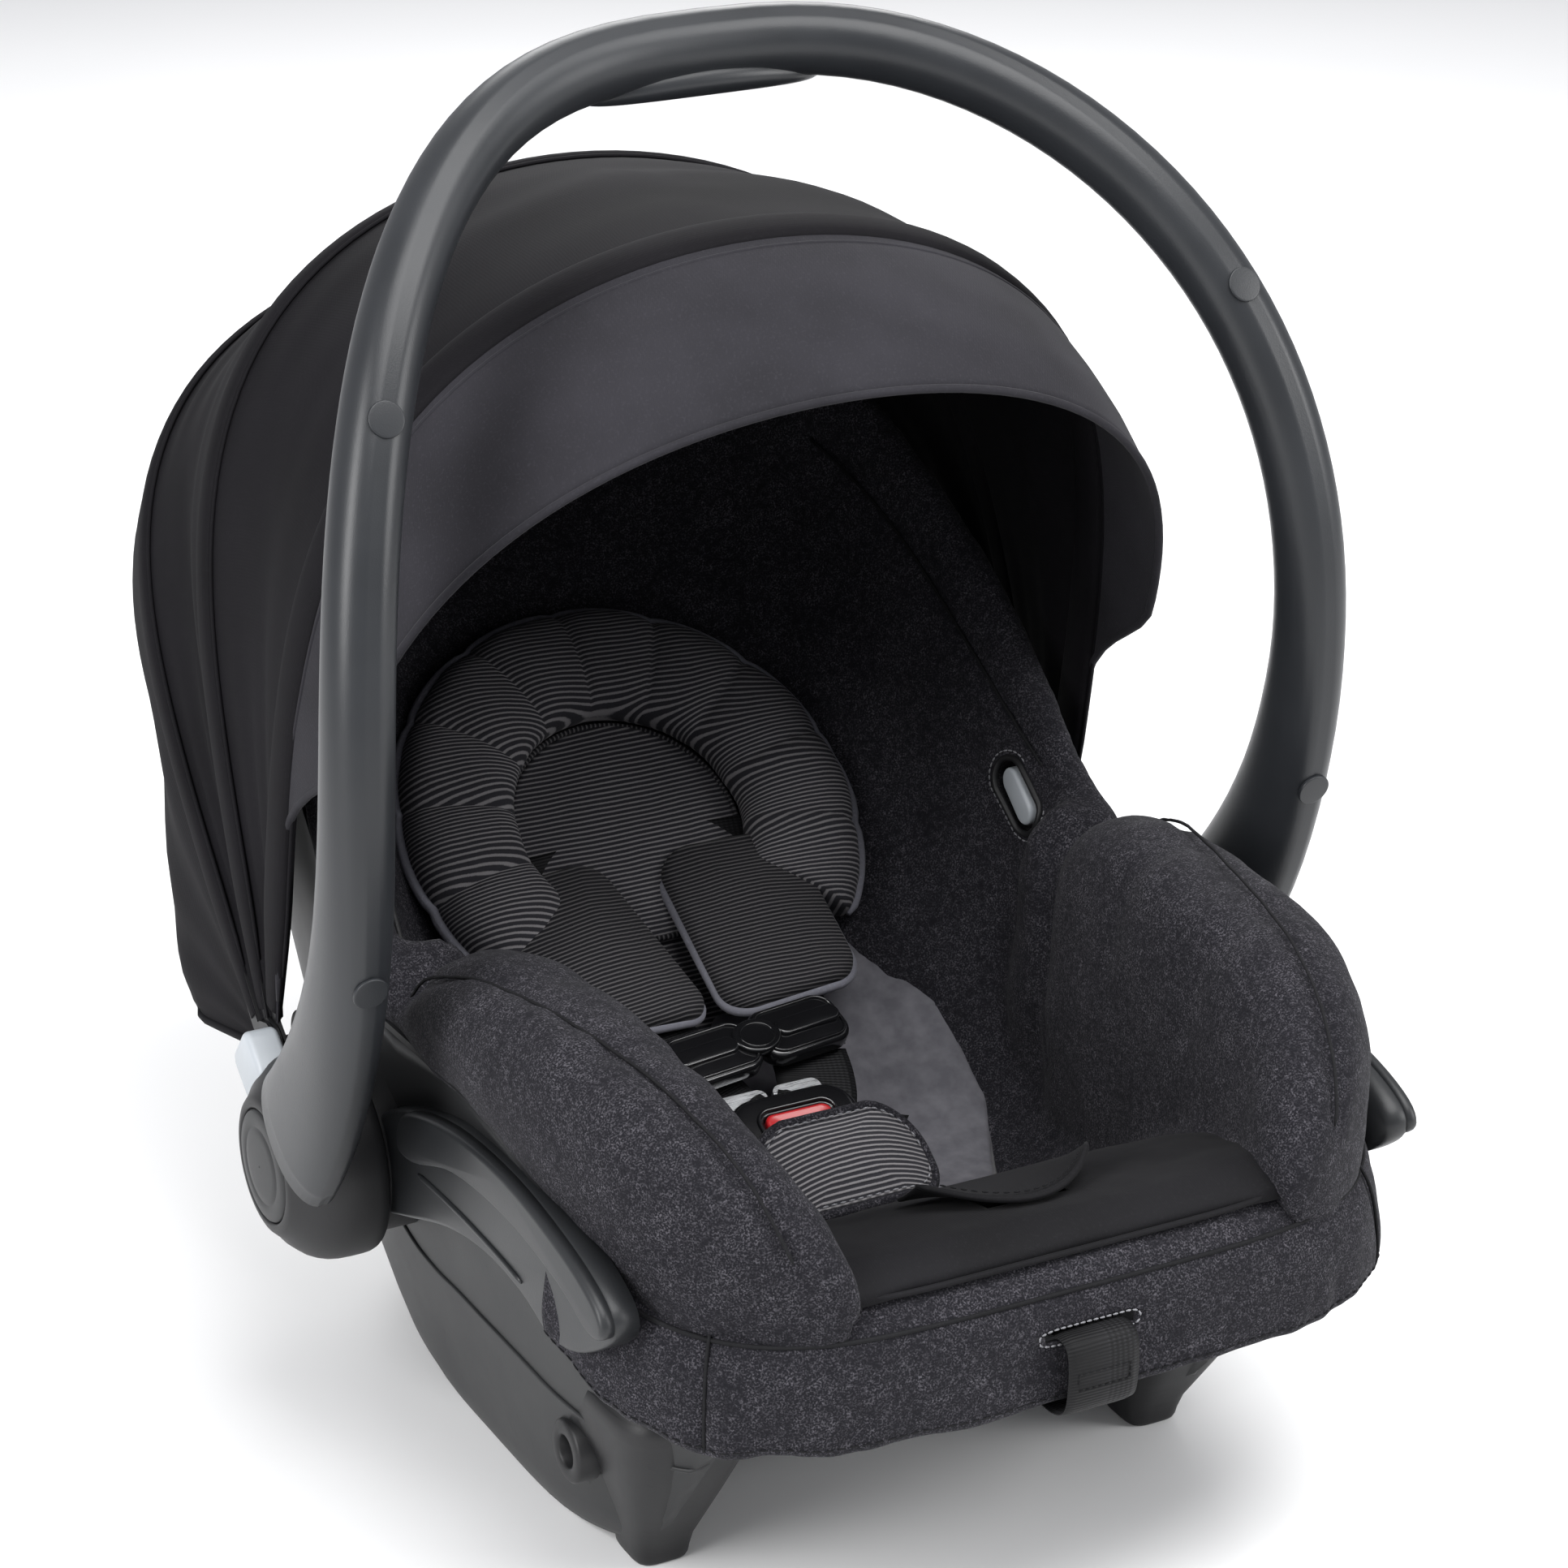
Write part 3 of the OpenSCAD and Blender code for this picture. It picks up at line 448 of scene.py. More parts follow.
def rounded(w, l, r, n=10):
    """Outline of a rectangle with round corners, anticlockwise."""
    out = []
    for cx, cy, start in ((1, 1, 0), (-1, 1, 90), (-1, -1, 180), (1, -1, 270)):
        for k in range(n):
            a = math.radians(start + 90 * k / (n - 1))
            out.append((cx * (w / 2 - r) + r * math.cos(a), cy * (l / 2 - r) + r * math.sin(a)))
    return out


def plate(name, shape, z0, z1, edge, material, place_by, dome=0.0, bend=None):
    """Solid on a plan outline in mm with rounded edges, placed by a matrix in metres; dome raises it."""
    n = len(shape)
    cx, cy = sum(p[0] for p in shape) / n, sum(p[1] for p in shape) / n
    normal = []
    for i in range(n):
        a, b = shape[i - 1], shape[(i + 1) % n]
        d = Vector((b[1] - a[1], a[0] - b[0]))
        normal.append(d.normalized() if d.length > 1e-9
                      else Vector((shape[i][0] - cx, shape[i][1] - cy)).normalized())
    rings = []
    levels = [(edge * (1 - math.sin(math.pi / 2 * k / 4)),
               z0 + edge * (1 - math.cos(math.pi / 2 * k / 4))) for k in range(5)]
    levels += [(edge * (1 - math.cos(math.pi / 2 * k / 5)),
                z1 - edge * (1 - math.sin(math.pi / 2 * k / 5))) for k in range(6)]
    for inset, z in levels:
        rings.append([(p[0] - q[0] * inset, p[1] - q[1] * inset, z) for p, q in zip(shape, normal)])
    for s in (0.93, 0.84, 0.72, 0.56, 0.38, 0.2, 0.06):
        top = [(cx + (p[0] - cx) * s, cy + (p[1] - cy) * s) for p in rings[10]]
        rings.append([(x, y, z1 + dome * (1 - s ** 2.2)) for x, y in top])
    flat = [[p for p in ring] for ring in rings]
    if bend:
        rings = [[bend(*p) for p in ring] for ring in rings]
    rows = [[place_by @ Vector((p[0] / 1000, p[1] / 1000, p[2] / 1000)) for p in ring] for ring in rings]
    uv = lambda r, c: (flat[r][c][0] / 1000, flat[r][c][1] / 1000 + flat[r][c][2] / 1500)
    return grid(name, rows, material, wrap=True, caps=True, uv=uv)


def at(x, y, z, rx=0, ry=0, rz=0):
    """Matrix as in the design: turn about X, then Y, then Z, and move; the place is in millimetres."""
    turn = Matrix.Rotation(math.radians(rz), 4, "Z") @ Matrix.Rotation(math.radians(ry), 4,
            "Y") @ Matrix.Rotation(math.radians(rx), 4, "X")
    return Matrix.Translation(P(x, y, z)) @ turn


def lathe(name, profile, centre, material, side=1, n=96, caps=False):
    """Revolves (radius, x) pairs in millimetres about a line along X through centre (y, z)."""
    rows = []
    for r, x in profile:
        rows.append([P(side * x, centre[0] + r * math.cos(2 * math.pi * k / n) * side,
                       centre[1] + r * math.sin(2 * math.pi * k / n)) for k in range(n)])
    return grid(name, rows, material, wrap=True, caps=caps)


# ---------------------------------------------------------------- shapes shared with the design
def look(t, table):
    if t <= table[0][0]:
        return table[0][1]
    for (a, p), (b, q) in zip(table, table[1:]):
        if t <= b:
            return p + (q - p) * (t - a) / (b - a)
    return table[-1][1]


def soft(y, table, d):
    return (look(y - d, table) + 2 * look(y, table) + look(y + d, table)) / 4


RIM = [(-275, 156), (-230, 160), (-200, 168), (-150, 186), (-104, 196), (-60, 192), (-25, 186), (0, 198),
       (30, 230),
       (65, 262), (101, 292), (153, 330), (200, 352), (250, 364), (300, 366)]
LOW = [(-275, 32), (-190, 18), (-120, 3), (-90, 0), (100, 0), (140, 10), (200, 60), (255, 120), (318, 190),
       (335, 212)]
ARCH = [(-275, 106), (-200, 84), (-160, 62), (-125, 40), (-90, 18), (-55, 3), (-30, 0)]
SEAT = [(-280, 148), (-262, 155), (-230, 151), (-200, 144), (-180, 136), (-158, 121), (-130, 97), (-100, 79),
        (-60, 70),
        (-20, 74), (10, 94), (250, 295), (275, 318), (300, 330)]
MID_Y = -20


def mix(a, b, t):
    return a + (b - a) * t


def clamp(t):
    return min(1.0, max(0.0, t))


def ease(t):
    t = clamp(t)
    return t * t * (3 - 2 * t)


def spow(v, e):
    return math.copysign(abs(v) ** e, v)


def rim_z(y):
    return soft(y, RIM, 14)


def seat_z(y):
    return soft(y, SEAT, 12)


def under_z(x, y):
    low = soft(y, LOW, 16)
    return mix(max(low, soft(y, ARCH, 12)), low, ease((abs(x) - 98) / 24))


def outline(a, w, front, back):
    s, c = math.sin(math.radians(a)), math.cos(math.radians(a))
    e = 2 / (4.6 if s < 0 else 2.4)
    return w * spow(c, e), MID_Y + (MID_Y - front if s < 0 else back - MID_Y) * spow(s, e)


def angles(n):
    """Angles that space points evenly round the squarish outline."""
    raw = [outline(360 * k / 720, 170, -270, 290) for k in range(720)]
    dist = [0.0]
    for a, b in zip(raw, raw[1:] + raw[:1]):
        dist.append(dist[-1] + math.dist(a, b))
    out, k = [], 0
    for j in range(n):
        want = dist[-1] * j / n
        while dist[k + 1] <= want:
            k += 1
        out.append(0.5 * (k + (want - dist[k]) / (dist[k + 1] - dist[k])))
    return out


AROUND = angles(160)


def bowl_s(x, y):
    n = 4.6 if y < MID_Y else 2.4
    reach = MID_Y + 254 if y < MID_Y else 262 - MID_Y
    return ((abs(x) / 150) ** n + (abs(y - MID_Y) / reach) ** n) ** (1 / n)


def cover_z(x, y):
    return mix(seat_z(y), rim_z(y) + 6, min(1, bowl_s(x, y)) ** 7)


# ---------------------------------------------------------------- shell, feet, belt guides
LEVELS = [(0, 38, 80, -150), (0.04, 33, 74, -124), (0.25, 24, 52, -36), (0.5, 14, 30, 28), (0.75, 7, 13, 40),
          (0.93, 3, 4, 22), (1, 0, 0, 0)]


def hull_ring(level, off, lift=0.0, s=1.0):
    inset, front, back = (soft(level, [(l[0], l[k]) for l in LEVELS], 0.02) for k in (1, 2, 3))
    ring = []
    for a in AROUND:
        x, y = outline(a, 170 - inset - off, -270 + front + off, 290 + back - off)
        x, y = s * x, MID_Y + s * (y - MID_Y)
        ring.append(P(x, y, mix(under_z(x, y) + lift, rim_z(y), level)))
    return ring


steps = [0, 0.015, 0.04, 0.08, 0.14, 0.2, 0.27, 0.35, 0.43, 0.5, 0.57, 0.64, 0.71, 0.78, 0.85, 0.91, 0.96, 1]
rows = [hull_ring(0, 0, 0, s) for s in (0.02, 0.3, 0.55, 0.75, 0.9, 0.97)] + [hull_ring(l, 0) for l in steps]
rows += [hull_ring(l, 4, 4) for l in reversed(steps)] + [hull_ring(0, 4, 4, s) for s in (0.97, 0.9, 0.75,
                                                                                         0.55, 0.3, 0.02)]
shell = grid("Shell", rows, M["shell"], wrap=True, caps=True)


def block(lo, hi):
    a, b = P(*lo), P(*hi)
    v = [Vector((x, y, z)) for x in (a.x, b.x) for y in (a.y, b.y) for z in (a.z, b.z)]
    return finish("cutter", v,
            [(0, 1, 3, 2), (4, 6, 7, 5), (0, 4, 5, 1), (2, 3, 7, 6), (0, 2, 6, 4), (1, 5, 7, 3)], M["shell"],
            smooth=False)


for y, z in ((-112, 22), (92, 24)):
    cut(shell, block((-112, y - 14, -6), (112, y + 14, z)))
cut(shell, block((-24, -276, 128), (24, -255, 144)))
for side in (-1, 1):
    cut(shell, lathe("cutter", [(8.6, 134), (8.6, 160)], (-143, 52), M["shell"], side, 48, caps=True))
place(shell, "seat", "shell")

for side, word in ((1, "left"), (-1, "right")):
    ring = lathe("Frame_socket_" + word,
            [(6.5, 139), (6.5, 147.2), (7.4, 148.2), (11.6, 148.2), (13, 147), (13, 139)], (-143, 52),
            M["black"], side, 64)
    place(ring, "seat", "frame_socket_" + word)
    # mould step that follows the underside
    line = []
    for k in range(60):
        y = mix(-225, 190, k / 59)
        level = 0.30 + 0.12 * math.sin(math.pi * k / 59)
        inset, front, back = (soft(level, [(l[0], l[q]) for l in LEVELS], 0.02) for q in (1, 2, 3))
        best = min((a for a in AROUND if side * math.cos(math.radians(a)) > 0),
                   key=lambda a: abs(outline(a, 170 - inset, -270 + front, 290 + back)[1] - y))
        x, yy = outline(best, 170 - inset, -270 + front, 290 + back)
        line.append(P(x, yy, mix(under_z(x, yy), rim_z(yy), level)))
    line = curve(resample(line, 0.02), 4)
    place(tubes("Shell_step_" + word, [drape(line, surface(shell), 0.0002)], 0.0011, M["shell"]), "seat")

    sections = [(92, 116, -166, 66, 82), (81, 116.5, -166, 62, 74), (70, 117, -165, 58, 66),
                (55, 116, -162, 50, 55), (40, 115, -158, 42, 44),
                (26, 114, -152.5, 34.5, 37), (12, 113, -147, 27, 30), (5, 112.6, -145.3, 24.4, 28.4),
                (2, 112.5, -145, 23.6, 27.6),
                (0.5, 112.5, -145, 22.2, 26.2), (0, 112.5, -145, 20.5, 24.5)]
    rows = [[P(side * (cx + sx / 2 * spow(math.cos(math.tau * k / 48), 0.5)),
               cy + sy / 2 * spow(math.sin(math.tau * k / 48), 0.5), z)
             for k in range(48)] for z, cx, cy, sx, sy in sections]
    place(grid("Front_foot_" + word, rows[::-1] if side > 0 else rows, M["black"], wrap=True, caps=True),
          "seat", "front_foot_" + word)

GUIDE = [(-12, 118), (-10, 132), (-28, 152), (-62, 168), (-104, 180), (-156, 183), (-204, 177), (-232, 168),
         (-238, 158),
         (-228, 147), (-206, 134), (-184, 129), (-158, 135), (-124, 136), (-88, 129), (-44, 113), (-24, 107)]
RAIL = [(-52, 150), (-60, 167), (-104, 180), (-156, 183), (-204, 177), (-232, 168), (-238, 158), (-226, 153),
        (-200, 161),
        (-156, 166), (-106, 162), (-66, 148)]


def extruded(name, points, x0, x1, bevel, material, side):
    """A profile drawn in Y and Z, thickened along X, with rounded edges."""
    shape = curve([Vector((y, z, 0)) for y, z in points], 5, closed=True)
    n = len(shape)
    centre = sum(shape, Vector()) / n
    out = []
    for i, p in enumerate(shape):
        d = shape[(i + 1) % n] - shape[i - 1]
        out.append(Vector((d.y, -d.x, 0)).normalized())
    area = sum(shape[i - 1].x * shape[i].y - shape[i].x * shape[i - 1].y for i in range(n))
    if area < 0:
        out = [-q for q in out]
    rows = []
    for inset, x in [(0, x0)] + [(bevel * (1 - math.cos(math.pi / 2 * k / 4)),
                                  x1 - bevel * (1 - math.sin(math.pi / 2 * k / 4))) for k in range(5)]:
        rows.append([P(side * x, p.x - q.x * inset, p.y - q.y * inset) for p, q in zip(shape, out)])
    return grid(name, rows, material, wrap=True, caps=True)


for side, word in ((1, "left"), (-1, "right")):
    guide = extruded("Belt_guide_" + word, GUIDE, 161, 172, 2.2, M["guide"], side)
    lip = extruded("Belt_guide_lip_" + word, RAIL, 171, 176.5, 2.4, M["guide"], side)
    place(guide, "seat", "belt_guide_" + word)
    place(lip, "seat", None)
    mark = [P(side * 172.1, y, 143 + 0.00006 * (y + 110) ** 2 * -14) for y in range(-160, -62, 4)]
    place(tubes("Level_line_" + word, [mark], 0.0012, M["guide"]), "seat")

# ---------------------------------------------------------------- padded cover
# Side lobes as (y, top height), (y, inner edge) and (y, fullness): the long front lobe, then the short one.
LOBES = [
    ([(-26, 204), (-40, 214), (-60, 230), (-90, 237), (-130, 238.5), (-170, 237.5), (-205, 234), (-235, 224),
      (-255, 211), (-268, 197), (-277, 186)],
     [(-26, 126), (-60, 116), (-120, 110), (-180, 105), (-230, 99), (-277, 84)],
     [(-26, 0.25), (-32, 0.62), (-42, 0.88), (-58, 1), (-246, 1), (-261, 0.94), (-271, 0.78), (-278, 0.4)]),
    ([(6, 204), (-4, 214), (-16, 219), (-30, 214), (-44, 204)], [(6, 128), (-44, 116)],
     [(-44, 0.35), (-37, 0.75), (-28, 0.95), (-16, 1), (-6, 0.85), (6, 0.4)])]
bowl_steps = [0.02, 0.15, 0.3, 0.42, 0.52, 0.62, 0.7, 0.77, 0.83, 0.88, 0.92, 0.95, 0.975, 1]


def bowl_ring(s, w, front, back, drop, top):
    ring = []
    for a in AROUND:
        x, y = outline(a, w, front, back)
        x, y = s * x, MID_Y + s * (y - MID_Y)
        ring.append(P(x, y, mix(seat_z(y) - drop, rim_z(y) + top, s ** 7)))
    return ring


def join(name, objs, material):
    verts, faces = [], []
    for o in objs:
        base = len(verts)
        verts += [v.co.copy() for v in o.data.vertices]
        faces += [[base + i for i in p.vertices] for p in o.data.polygons]
        bpy.data.objects.remove(o)
    return finish(name, verts, faces, material)


parts = [grid("bowl",
        [bowl_ring(s, 162, -263, 276, 15, 5) for s in bowl_steps] + [bowl_ring(s, 150, -254, 262, 0,
                7) for s in reversed(bowl_steps)],
              M["heather"], wrap=True, caps=True)]
for side in (-1, 1):
    for tops, inners, fills in LOBES:
        y0, y1 = max(fills[0][0], fills[-1][0]), min(fills[0][0], fills[-1][0])
        tops, inners, fills = sorted(tops), sorted(inners), sorted(fills)
        rows = []
        for k in range(61):
            y = mix(y0, y1, k / 60)
            top, inner, full = soft(y, tops, 3), soft(y, inners, 3), look(y, fills)
            rim, low = rim_z(y), cover_z(inner + 4, y) - 8
            wide = 173 * (1 - (abs(y - MID_Y) / 262) ** 4.6) ** (1 / 4.6) - inner
            shape = [(0.05, low), (0.62, rim - 26), (0.93, rim - 3), (1, mix(rim, top, 0.5)), (0.89, top - 7),
                     (0.64, top),
                     (0.3, top - 2), (0.1, top - 14), (0, mix(low, top, 0.5))]
            cx, cz = inner + wide / 2, mix(low, top, 0.55)
            shape = [Vector((mix(cx, inner + q * wide, full), mix(cz, z, full), 0)) for q, z in shape]
            rows.append([P(side * q.x, y, q.y) for q in curve(shape, 3, closed=True)])
        parts.append(grid("lobe", rows if side > 0 else rows[::-1], M["heather"], wrap=True, caps=True))
path = []
for k in range(61):
    x, y = outline(mix(-14, 194, k / 60), 163, -262, 281)
    path.append(P(x, y, rim_z(y) + 10.5))
parts.append(tubes("roll", [path], 0.0095, M["heather"], 14))
for p in parts:
    modify(p, "TRIANGULATE")
cover = join("Cover", parts, M["heather"])
modify(cover, "REMESH", mode="VOXEL", voxel_size=0.0048)
modify(cover, "SMOOTH", factor=0.5, iterations=9)
tree = surface(cover)
seams = []
for side in (-1, 1):
    # the winding seam along the top of each side lobe, and the crease behind it
    seams.append(drape(curve([P(side * 170, -46, 214), P(side * 168, -66, 230), P(side * 158, -100, 240),
                              P(side * 148, -140, 242),
                              P(side * 140, -180, 240), P(side * 132, -220, 232), P(side * 124, -250, 216),
                              P(side * 116, -272, 188)], 8), tree))
    seams.append(drape(curve([P(side * 150, 10, 224), P(side * 140, 60, 262), P(side * 132, 120, 306),
                              P(side * 122, 180, 334), P(side * 90, 236, 352),
                              P(side * 50, 254, 356), P(0, 258, 357)], 8), tree))
crease(cover, seams, 0.0026, 0.0042)
folds = [drape(curve([P(side * 170, -40, 206), P(side * 150, -37, 222), P(side * 124, -36, 208),
                      P(side * 112, -40, 160), P(side * 108, -50, 120)], 8), tree) for side in (-1, 1)]
crease(cover, folds, 0.004, 0.006)
folds = [drape(curve([P(side * 104, y, 190), P(side * 118, y - 6, 236), P(side * 150, y - 4, 246)], 8),
               tree) for side in (-1, 1) for y in (-108, -176)]
crease(cover, folds, 0.0014, 0.008)
wrinkle(cover, [(11, 0.0035, (1, 1, 1)), (32, 0.0016, (1.6, 0.8, 1)), (85, 0.0006, (1, 1, 1))])
tree = surface(cover)


def oval_post(side, r, half, x0, x1, turn=40):
    shape = [(r * math.cos(math.tau * k / 40),
            r * math.sin(math.tau * k / 40) + math.copysign(half,
                    math.sin(math.tau * k / 40 + 1e-6))) for k in range(40)]
    rows = []
    for x in (x0, x1):
        rows.append([at(side * 148, 20, 207, turn) @ Vector((side * x / 1000, v / 1000, u / 1000)) for u,
                     v in shape])
    return grid("cutter", rows if side > 0 else rows[::-1], M["heather"], wrap=True, caps=True)


for side in (-1, 1):
    cut(cover, oval_post(side, 8.6, 8, -26, 26), "FAST")
cut(cover, block((-17, -237, 90), (17, -212, 190)), "FAST")
cover.data.polygons.foreach_set("use_smooth", [True] * len(cover.data.polygons))
place(cover, "seat", ["seat_cover", "rim_cover", "bolster_left", "bolster_right"])
place(tubes("Cover_seams", seams, 0.0007, M["thread"], 6), "seat")

for side, word in ((1, "left"), (-1, "right")):
    ring = []
    for k in range(48):
        a = math.tau * k / 48
        ring.append(at(side * 148, 20, 207,
                40) @ Vector((0, (9.8 * math.sin(a) + math.copysign(8, math.sin(a + 1e-6))) / 1000,
                              9.8 * math.cos(a) / 1000)))
    ring = drape(ring, tree, 0.0004)
    place(tubes("Buttonhole_edge_" + word, [ring], 0.0015, M["black"], 8, closed=True), "seat")
    place(tubes("Buttonhole_stitch_" + word,
            dashes(drape([tree.find_nearest(p)[0] + (p - sum(ring, Vector()) / 48).normalized() * 0.0032
                          for p in ring], tree, 0.0004), 0.002, 0.0012),
                0.0004, M["pale"], 5), "seat")
    turned = at(side * 148, 20, 207, 40) @ Matrix.Rotation(math.radians(-90 * side), 4, "Y")
    key = plate("Adapter_button_" + word,
            [(6.5 * math.cos(math.tau * k / 40),
              6.5 * math.sin(math.tau * k / 40) + math.copysign(7, math.sin(math.tau * k / 40 + 1e-6)))
                                            for k in range(40)], -5, 3, 1.6, M["grey"], turned, 0.5)
    place(key, "adapter_release_" + word, "adapter_button_" + word)

# skirt round the foot end
A0, A1 = -161, -19
spread = [(9, -13), (4, -4), (-3, 2), (-10, 5), (-18, 6.6), (-27, 7.4), (-36, 8), (-42, 8), (-45.5, 7),
          (-46.5, 4.5), (-45, 2.8)]
rows = []
for k in range(150):
    a = mix(A0, A1, k / 149)
    row = []
    for rise, out in spread:
        hem = ease((-rise - 8) / 36)
        ripple = hem * (1.5 * noise.noise(Vector((a * 0.11, 3, 0))) + 0.8
                        * noise.noise(Vector((a * 0.33, rise * 0.05, 7))))
        x, y = outline(a, 170 + out + ripple, -277 - out - ripple, 200)
        row.append(P(x, y, rim_z(y) + rise + 1.6 * hem * noise.noise(Vector((a * 0.09, 0, 5)))))
    rows.append(row)
skirt = grid("Front_skirt", rows, M["heather"])
smooth(skirt)
modify(skirt, "SOLIDIFY", thickness=0.0026, offset=-1.0)
cut(skirt, block((-19, -300, 136.5), (19, -262, 140.5)))
skirt.data.polygons.foreach_set("use_smooth", [True] * len(skirt.data.polygons))
skirt_tree = surface(skirt)
corner = []
for a in (-129, -51):
    z = rim_z(outline(a, 176, -283, 200)[1])
    corner.append([P(*outline(a, 170 + o, -277 - o, 200), z + r) for r, o in spread[1:9]])
corner = [drape(curve(c, 5), skirt_tree) for c in corner]
crease(skirt, corner, 0.0014, 0.0022)
wrinkle(skirt, [(24, 0.0018, (1, 1, 1.5)), (75, 0.0006, (1, 1, 1))])
skirt_tree = surface(skirt)
place(skirt, "seat", "front_cover")
hem = drape([row[7] for row in rows], skirt_tree, 0.0003)
slot_edge = []
for s in range(48):
    a = math.tau * s / 48
    slot_edge.append(P(21.5 * spow(math.cos(a), 0.4), -288, 138.5 + 3.6 * spow(math.sin(a), 0.6)))
place(tubes("Hem_stitches", dashes(curve(hem, 3), 0.0034, 0.0016), 0.0004, M["thread"], 5), "seat")
place(tubes("Corner_seams", corner, 0.0007, M["thread"], 6), "seat")
place(tubes("Slot_stitches", dashes(drape(slot_edge + slot_edge[:1], skirt_tree, 0.0004), 0.0022, 0.0009),
            0.00045, M["pale"], 5), "seat")
top_seam = drape([row[2] for row in rows[14:136]], skirt_tree, 0.0002)
place(tubes("Skirt_seam", [top_seam], 0.0009, M["thread"], 6), "seat")


def pillowy(name, ys, half, lift, crown, material, nu=40, nv=30, sink=0.5, edge=6.0, extra=None):
    """A stuffed pad on the padded surface: crowned over the middle and pulled in at its sewn edge."""
    top, under = [], []
    for i in range(nv + 1):
        v = -1 + 2 * i / nv
        y = mix(ys[0], ys[1], (v + 1) / 2)
        line, low = [], []
        for k in range(nu + 1):
            u = -1 + 2 * k / nu
            x = half(y) * u
            full = (1 - abs(u) ** edge) ** 0.55 * (1 - abs(v) ** (edge + 2)) ** 0.55
            z = cover_z(x * 0.96, y)
            h = sink + lift * 0.3 + crown * full + (extra(u, v) * full if extra else 0)
            line.append(P(x, y, z + h))
            low.append(P(x, y, z + sink + lift * 0.3 - 0.6 * full))
        top.append(line)
        under.append(low)
    a = grid(name, top, material, uv=(lambda r, c: (top[r][c].x, top[r][c].y)))
    b = grid("under", under, material, uv=(lambda r, c: (under[r][c].x, under[r][c].y)))
    b.data.flip_normals()
    bpy.ops.object.select_all(action="DESELECT")
    a.select_set(True)
    b.select_set(True)
    bpy.context.view_layer.objects.active = a
    bpy.ops.object.join()
    weld = a.modifiers.new("weld", "WELD")
    weld.merge_threshold = 0.0002
    return bake(a)


def table(rows):
    return lambda y: look(y, rows)


pad = pillowy("Front_pad", (-271, -126),
        table([(-267, 106), (-240, 112), (-200, 105), (-170, 88), (-126, 66)]), 2, 8.2, M["jersey"], 60, 44,
              extra=lambda u,
              v: 1.6 * noise.noise(Vector((u * 1.4, v * 1.6, 2))) - 1.2
              * math.exp(-((v + 0.1) / 0.12) ** 2) * (1 - u * u))
wrinkle(pad, [(30, 0.0011, (1, 1, 1)), (80, 0.0004, (1, 1, 1))])
cut(pad, block((-17, -237, 90), (17, -212, 190)))
place(pad, "seat", "front_pad")
edge_line = []
for k in range(120):
    a = math.tau * k / 120
    u, v = spow(math.cos(a), 0.3), spow(math.sin(a), 0.3)
    y = mix(-271, -126, (v + 1) / 2)
    x = look(y, [(-267, 106), (-240, 112), (-200, 105), (-170, 88), (-126, 66)]) * u
    edge_line.append(P(x, y, cover_z(x * 0.96, y) + 1.8))
place(tubes("Front_pad_seam", [edge_line], 0.0012, M["jersey"], 8, closed=True), "seat")

insert = pillowy("Body_insert", (-100, 62), table([(-100, 60), (-60, 92), (-20, 112), (20, 112), (62, 84)]),
                 2, 6.0, M["suede"], 56, 40,
                 extra=lambda u, v: 2.2 * abs(u) ** 3 + 1.2 * noise.noise(Vector((u * 2, v * 2, 4))))
wrinkle(insert, [(40, 0.0012, (1, 1, 1)), (120, 0.0003, (1, 1, 1))])
place(insert, "seat", "body_insert")

# tab of cloth over the adjuster
rows = []
for i in range(13):
    v = i / 12
    row = []
    for k in range(33):
        q = -1 + k / 16
        x = 37 * q
        y = mix(-218 - 26 * (1 - q * q), -203, v)
        row.append(P(x, y, cover_z(x, y) + 12.5 + 8 * q * q * (1 - v) ** 1.3))
    rows.append(row)
flap = grid("Pad_flap", rows, M["jersey"])
modify(flap, "SOLIDIFY", thickness=0.002, offset=0.0)
smooth(flap)
place(flap, "adjuster_flap", "pad_flap")
place(tubes("Flap_stitches", dashes([p + Vector((0, 0.003, 0.0015)) for p in rows[0][3:30]], 0.0026, 0.0014),
            0.0004, M["thread"], 5), "adjuster_flap")
place(tubes("Flap_binding", [rows[0]], 0.0014, M["jersey"], 8), "adjuster_flap")

# ---------------------------------------------------------------- pillow
BACK = at(0, 112, seat_z(112), 40)


def back(x, y, z):
    return BACK @ Vector((x / 1000, y / 1000, z / 1000))


rows, flat_rows = [], []
N = 10
for k in range(181):
    a = mix(-38, 218, k / 180)
    t = (a + 38) / 256 * N
    full = abs(math.sin(math.pi * t)) ** 0.42 if 0 < k < 180 else 0.0
    ca, sa = math.cos(math.radians(a)), math.sin(math.radians(a))
    row, flat = [], []
    for q in range(36):
        w = math.tau * q / 36
        c, s = math.cos(w), math.sin(w)
        outward = max(0.0, c)
        swell = 0.80 + 0.2 * full
        r = 78 + 25.5 * spow(c, 0.85) * (0.93 + 0.07 * full if c > 0 else 1)
        h = 15.6 * spow(s,
                        0.85) * (swell if outward > 0.02 or s > 0 else 1) * (1 - 0.12 * (1 - full) * outward)
        h = max(-12.5, h) + 1.5 * (1 - 2 * abs(k / 180 - 0.5))
        pucker = 0.7 * (1 - full) * math.sin(9 * w) * outward
        row.append(back(r * ca, r * sa, 18 + h + pucker))
        flat.append((r * ca / 1000, r * sa / 1000 + 0.004 * math.sin(math.pi * (t % 1)) * ca))
    rows.append(row)
    flat_rows.append(flat)
ring = grid("Pillow_ring", rows, M["stripes"], wrap=True, caps=True, uv=lambda r, c: flat_rows[r][c])
wrinkle(ring, [(45, 0.0011, (1, 1, 1)), (120, 0.0004, (1, 1, 1))])
place(ring, "seat", "pillow_ring")
rim = [rows[k][0] for k in range(0, 181, 2)]
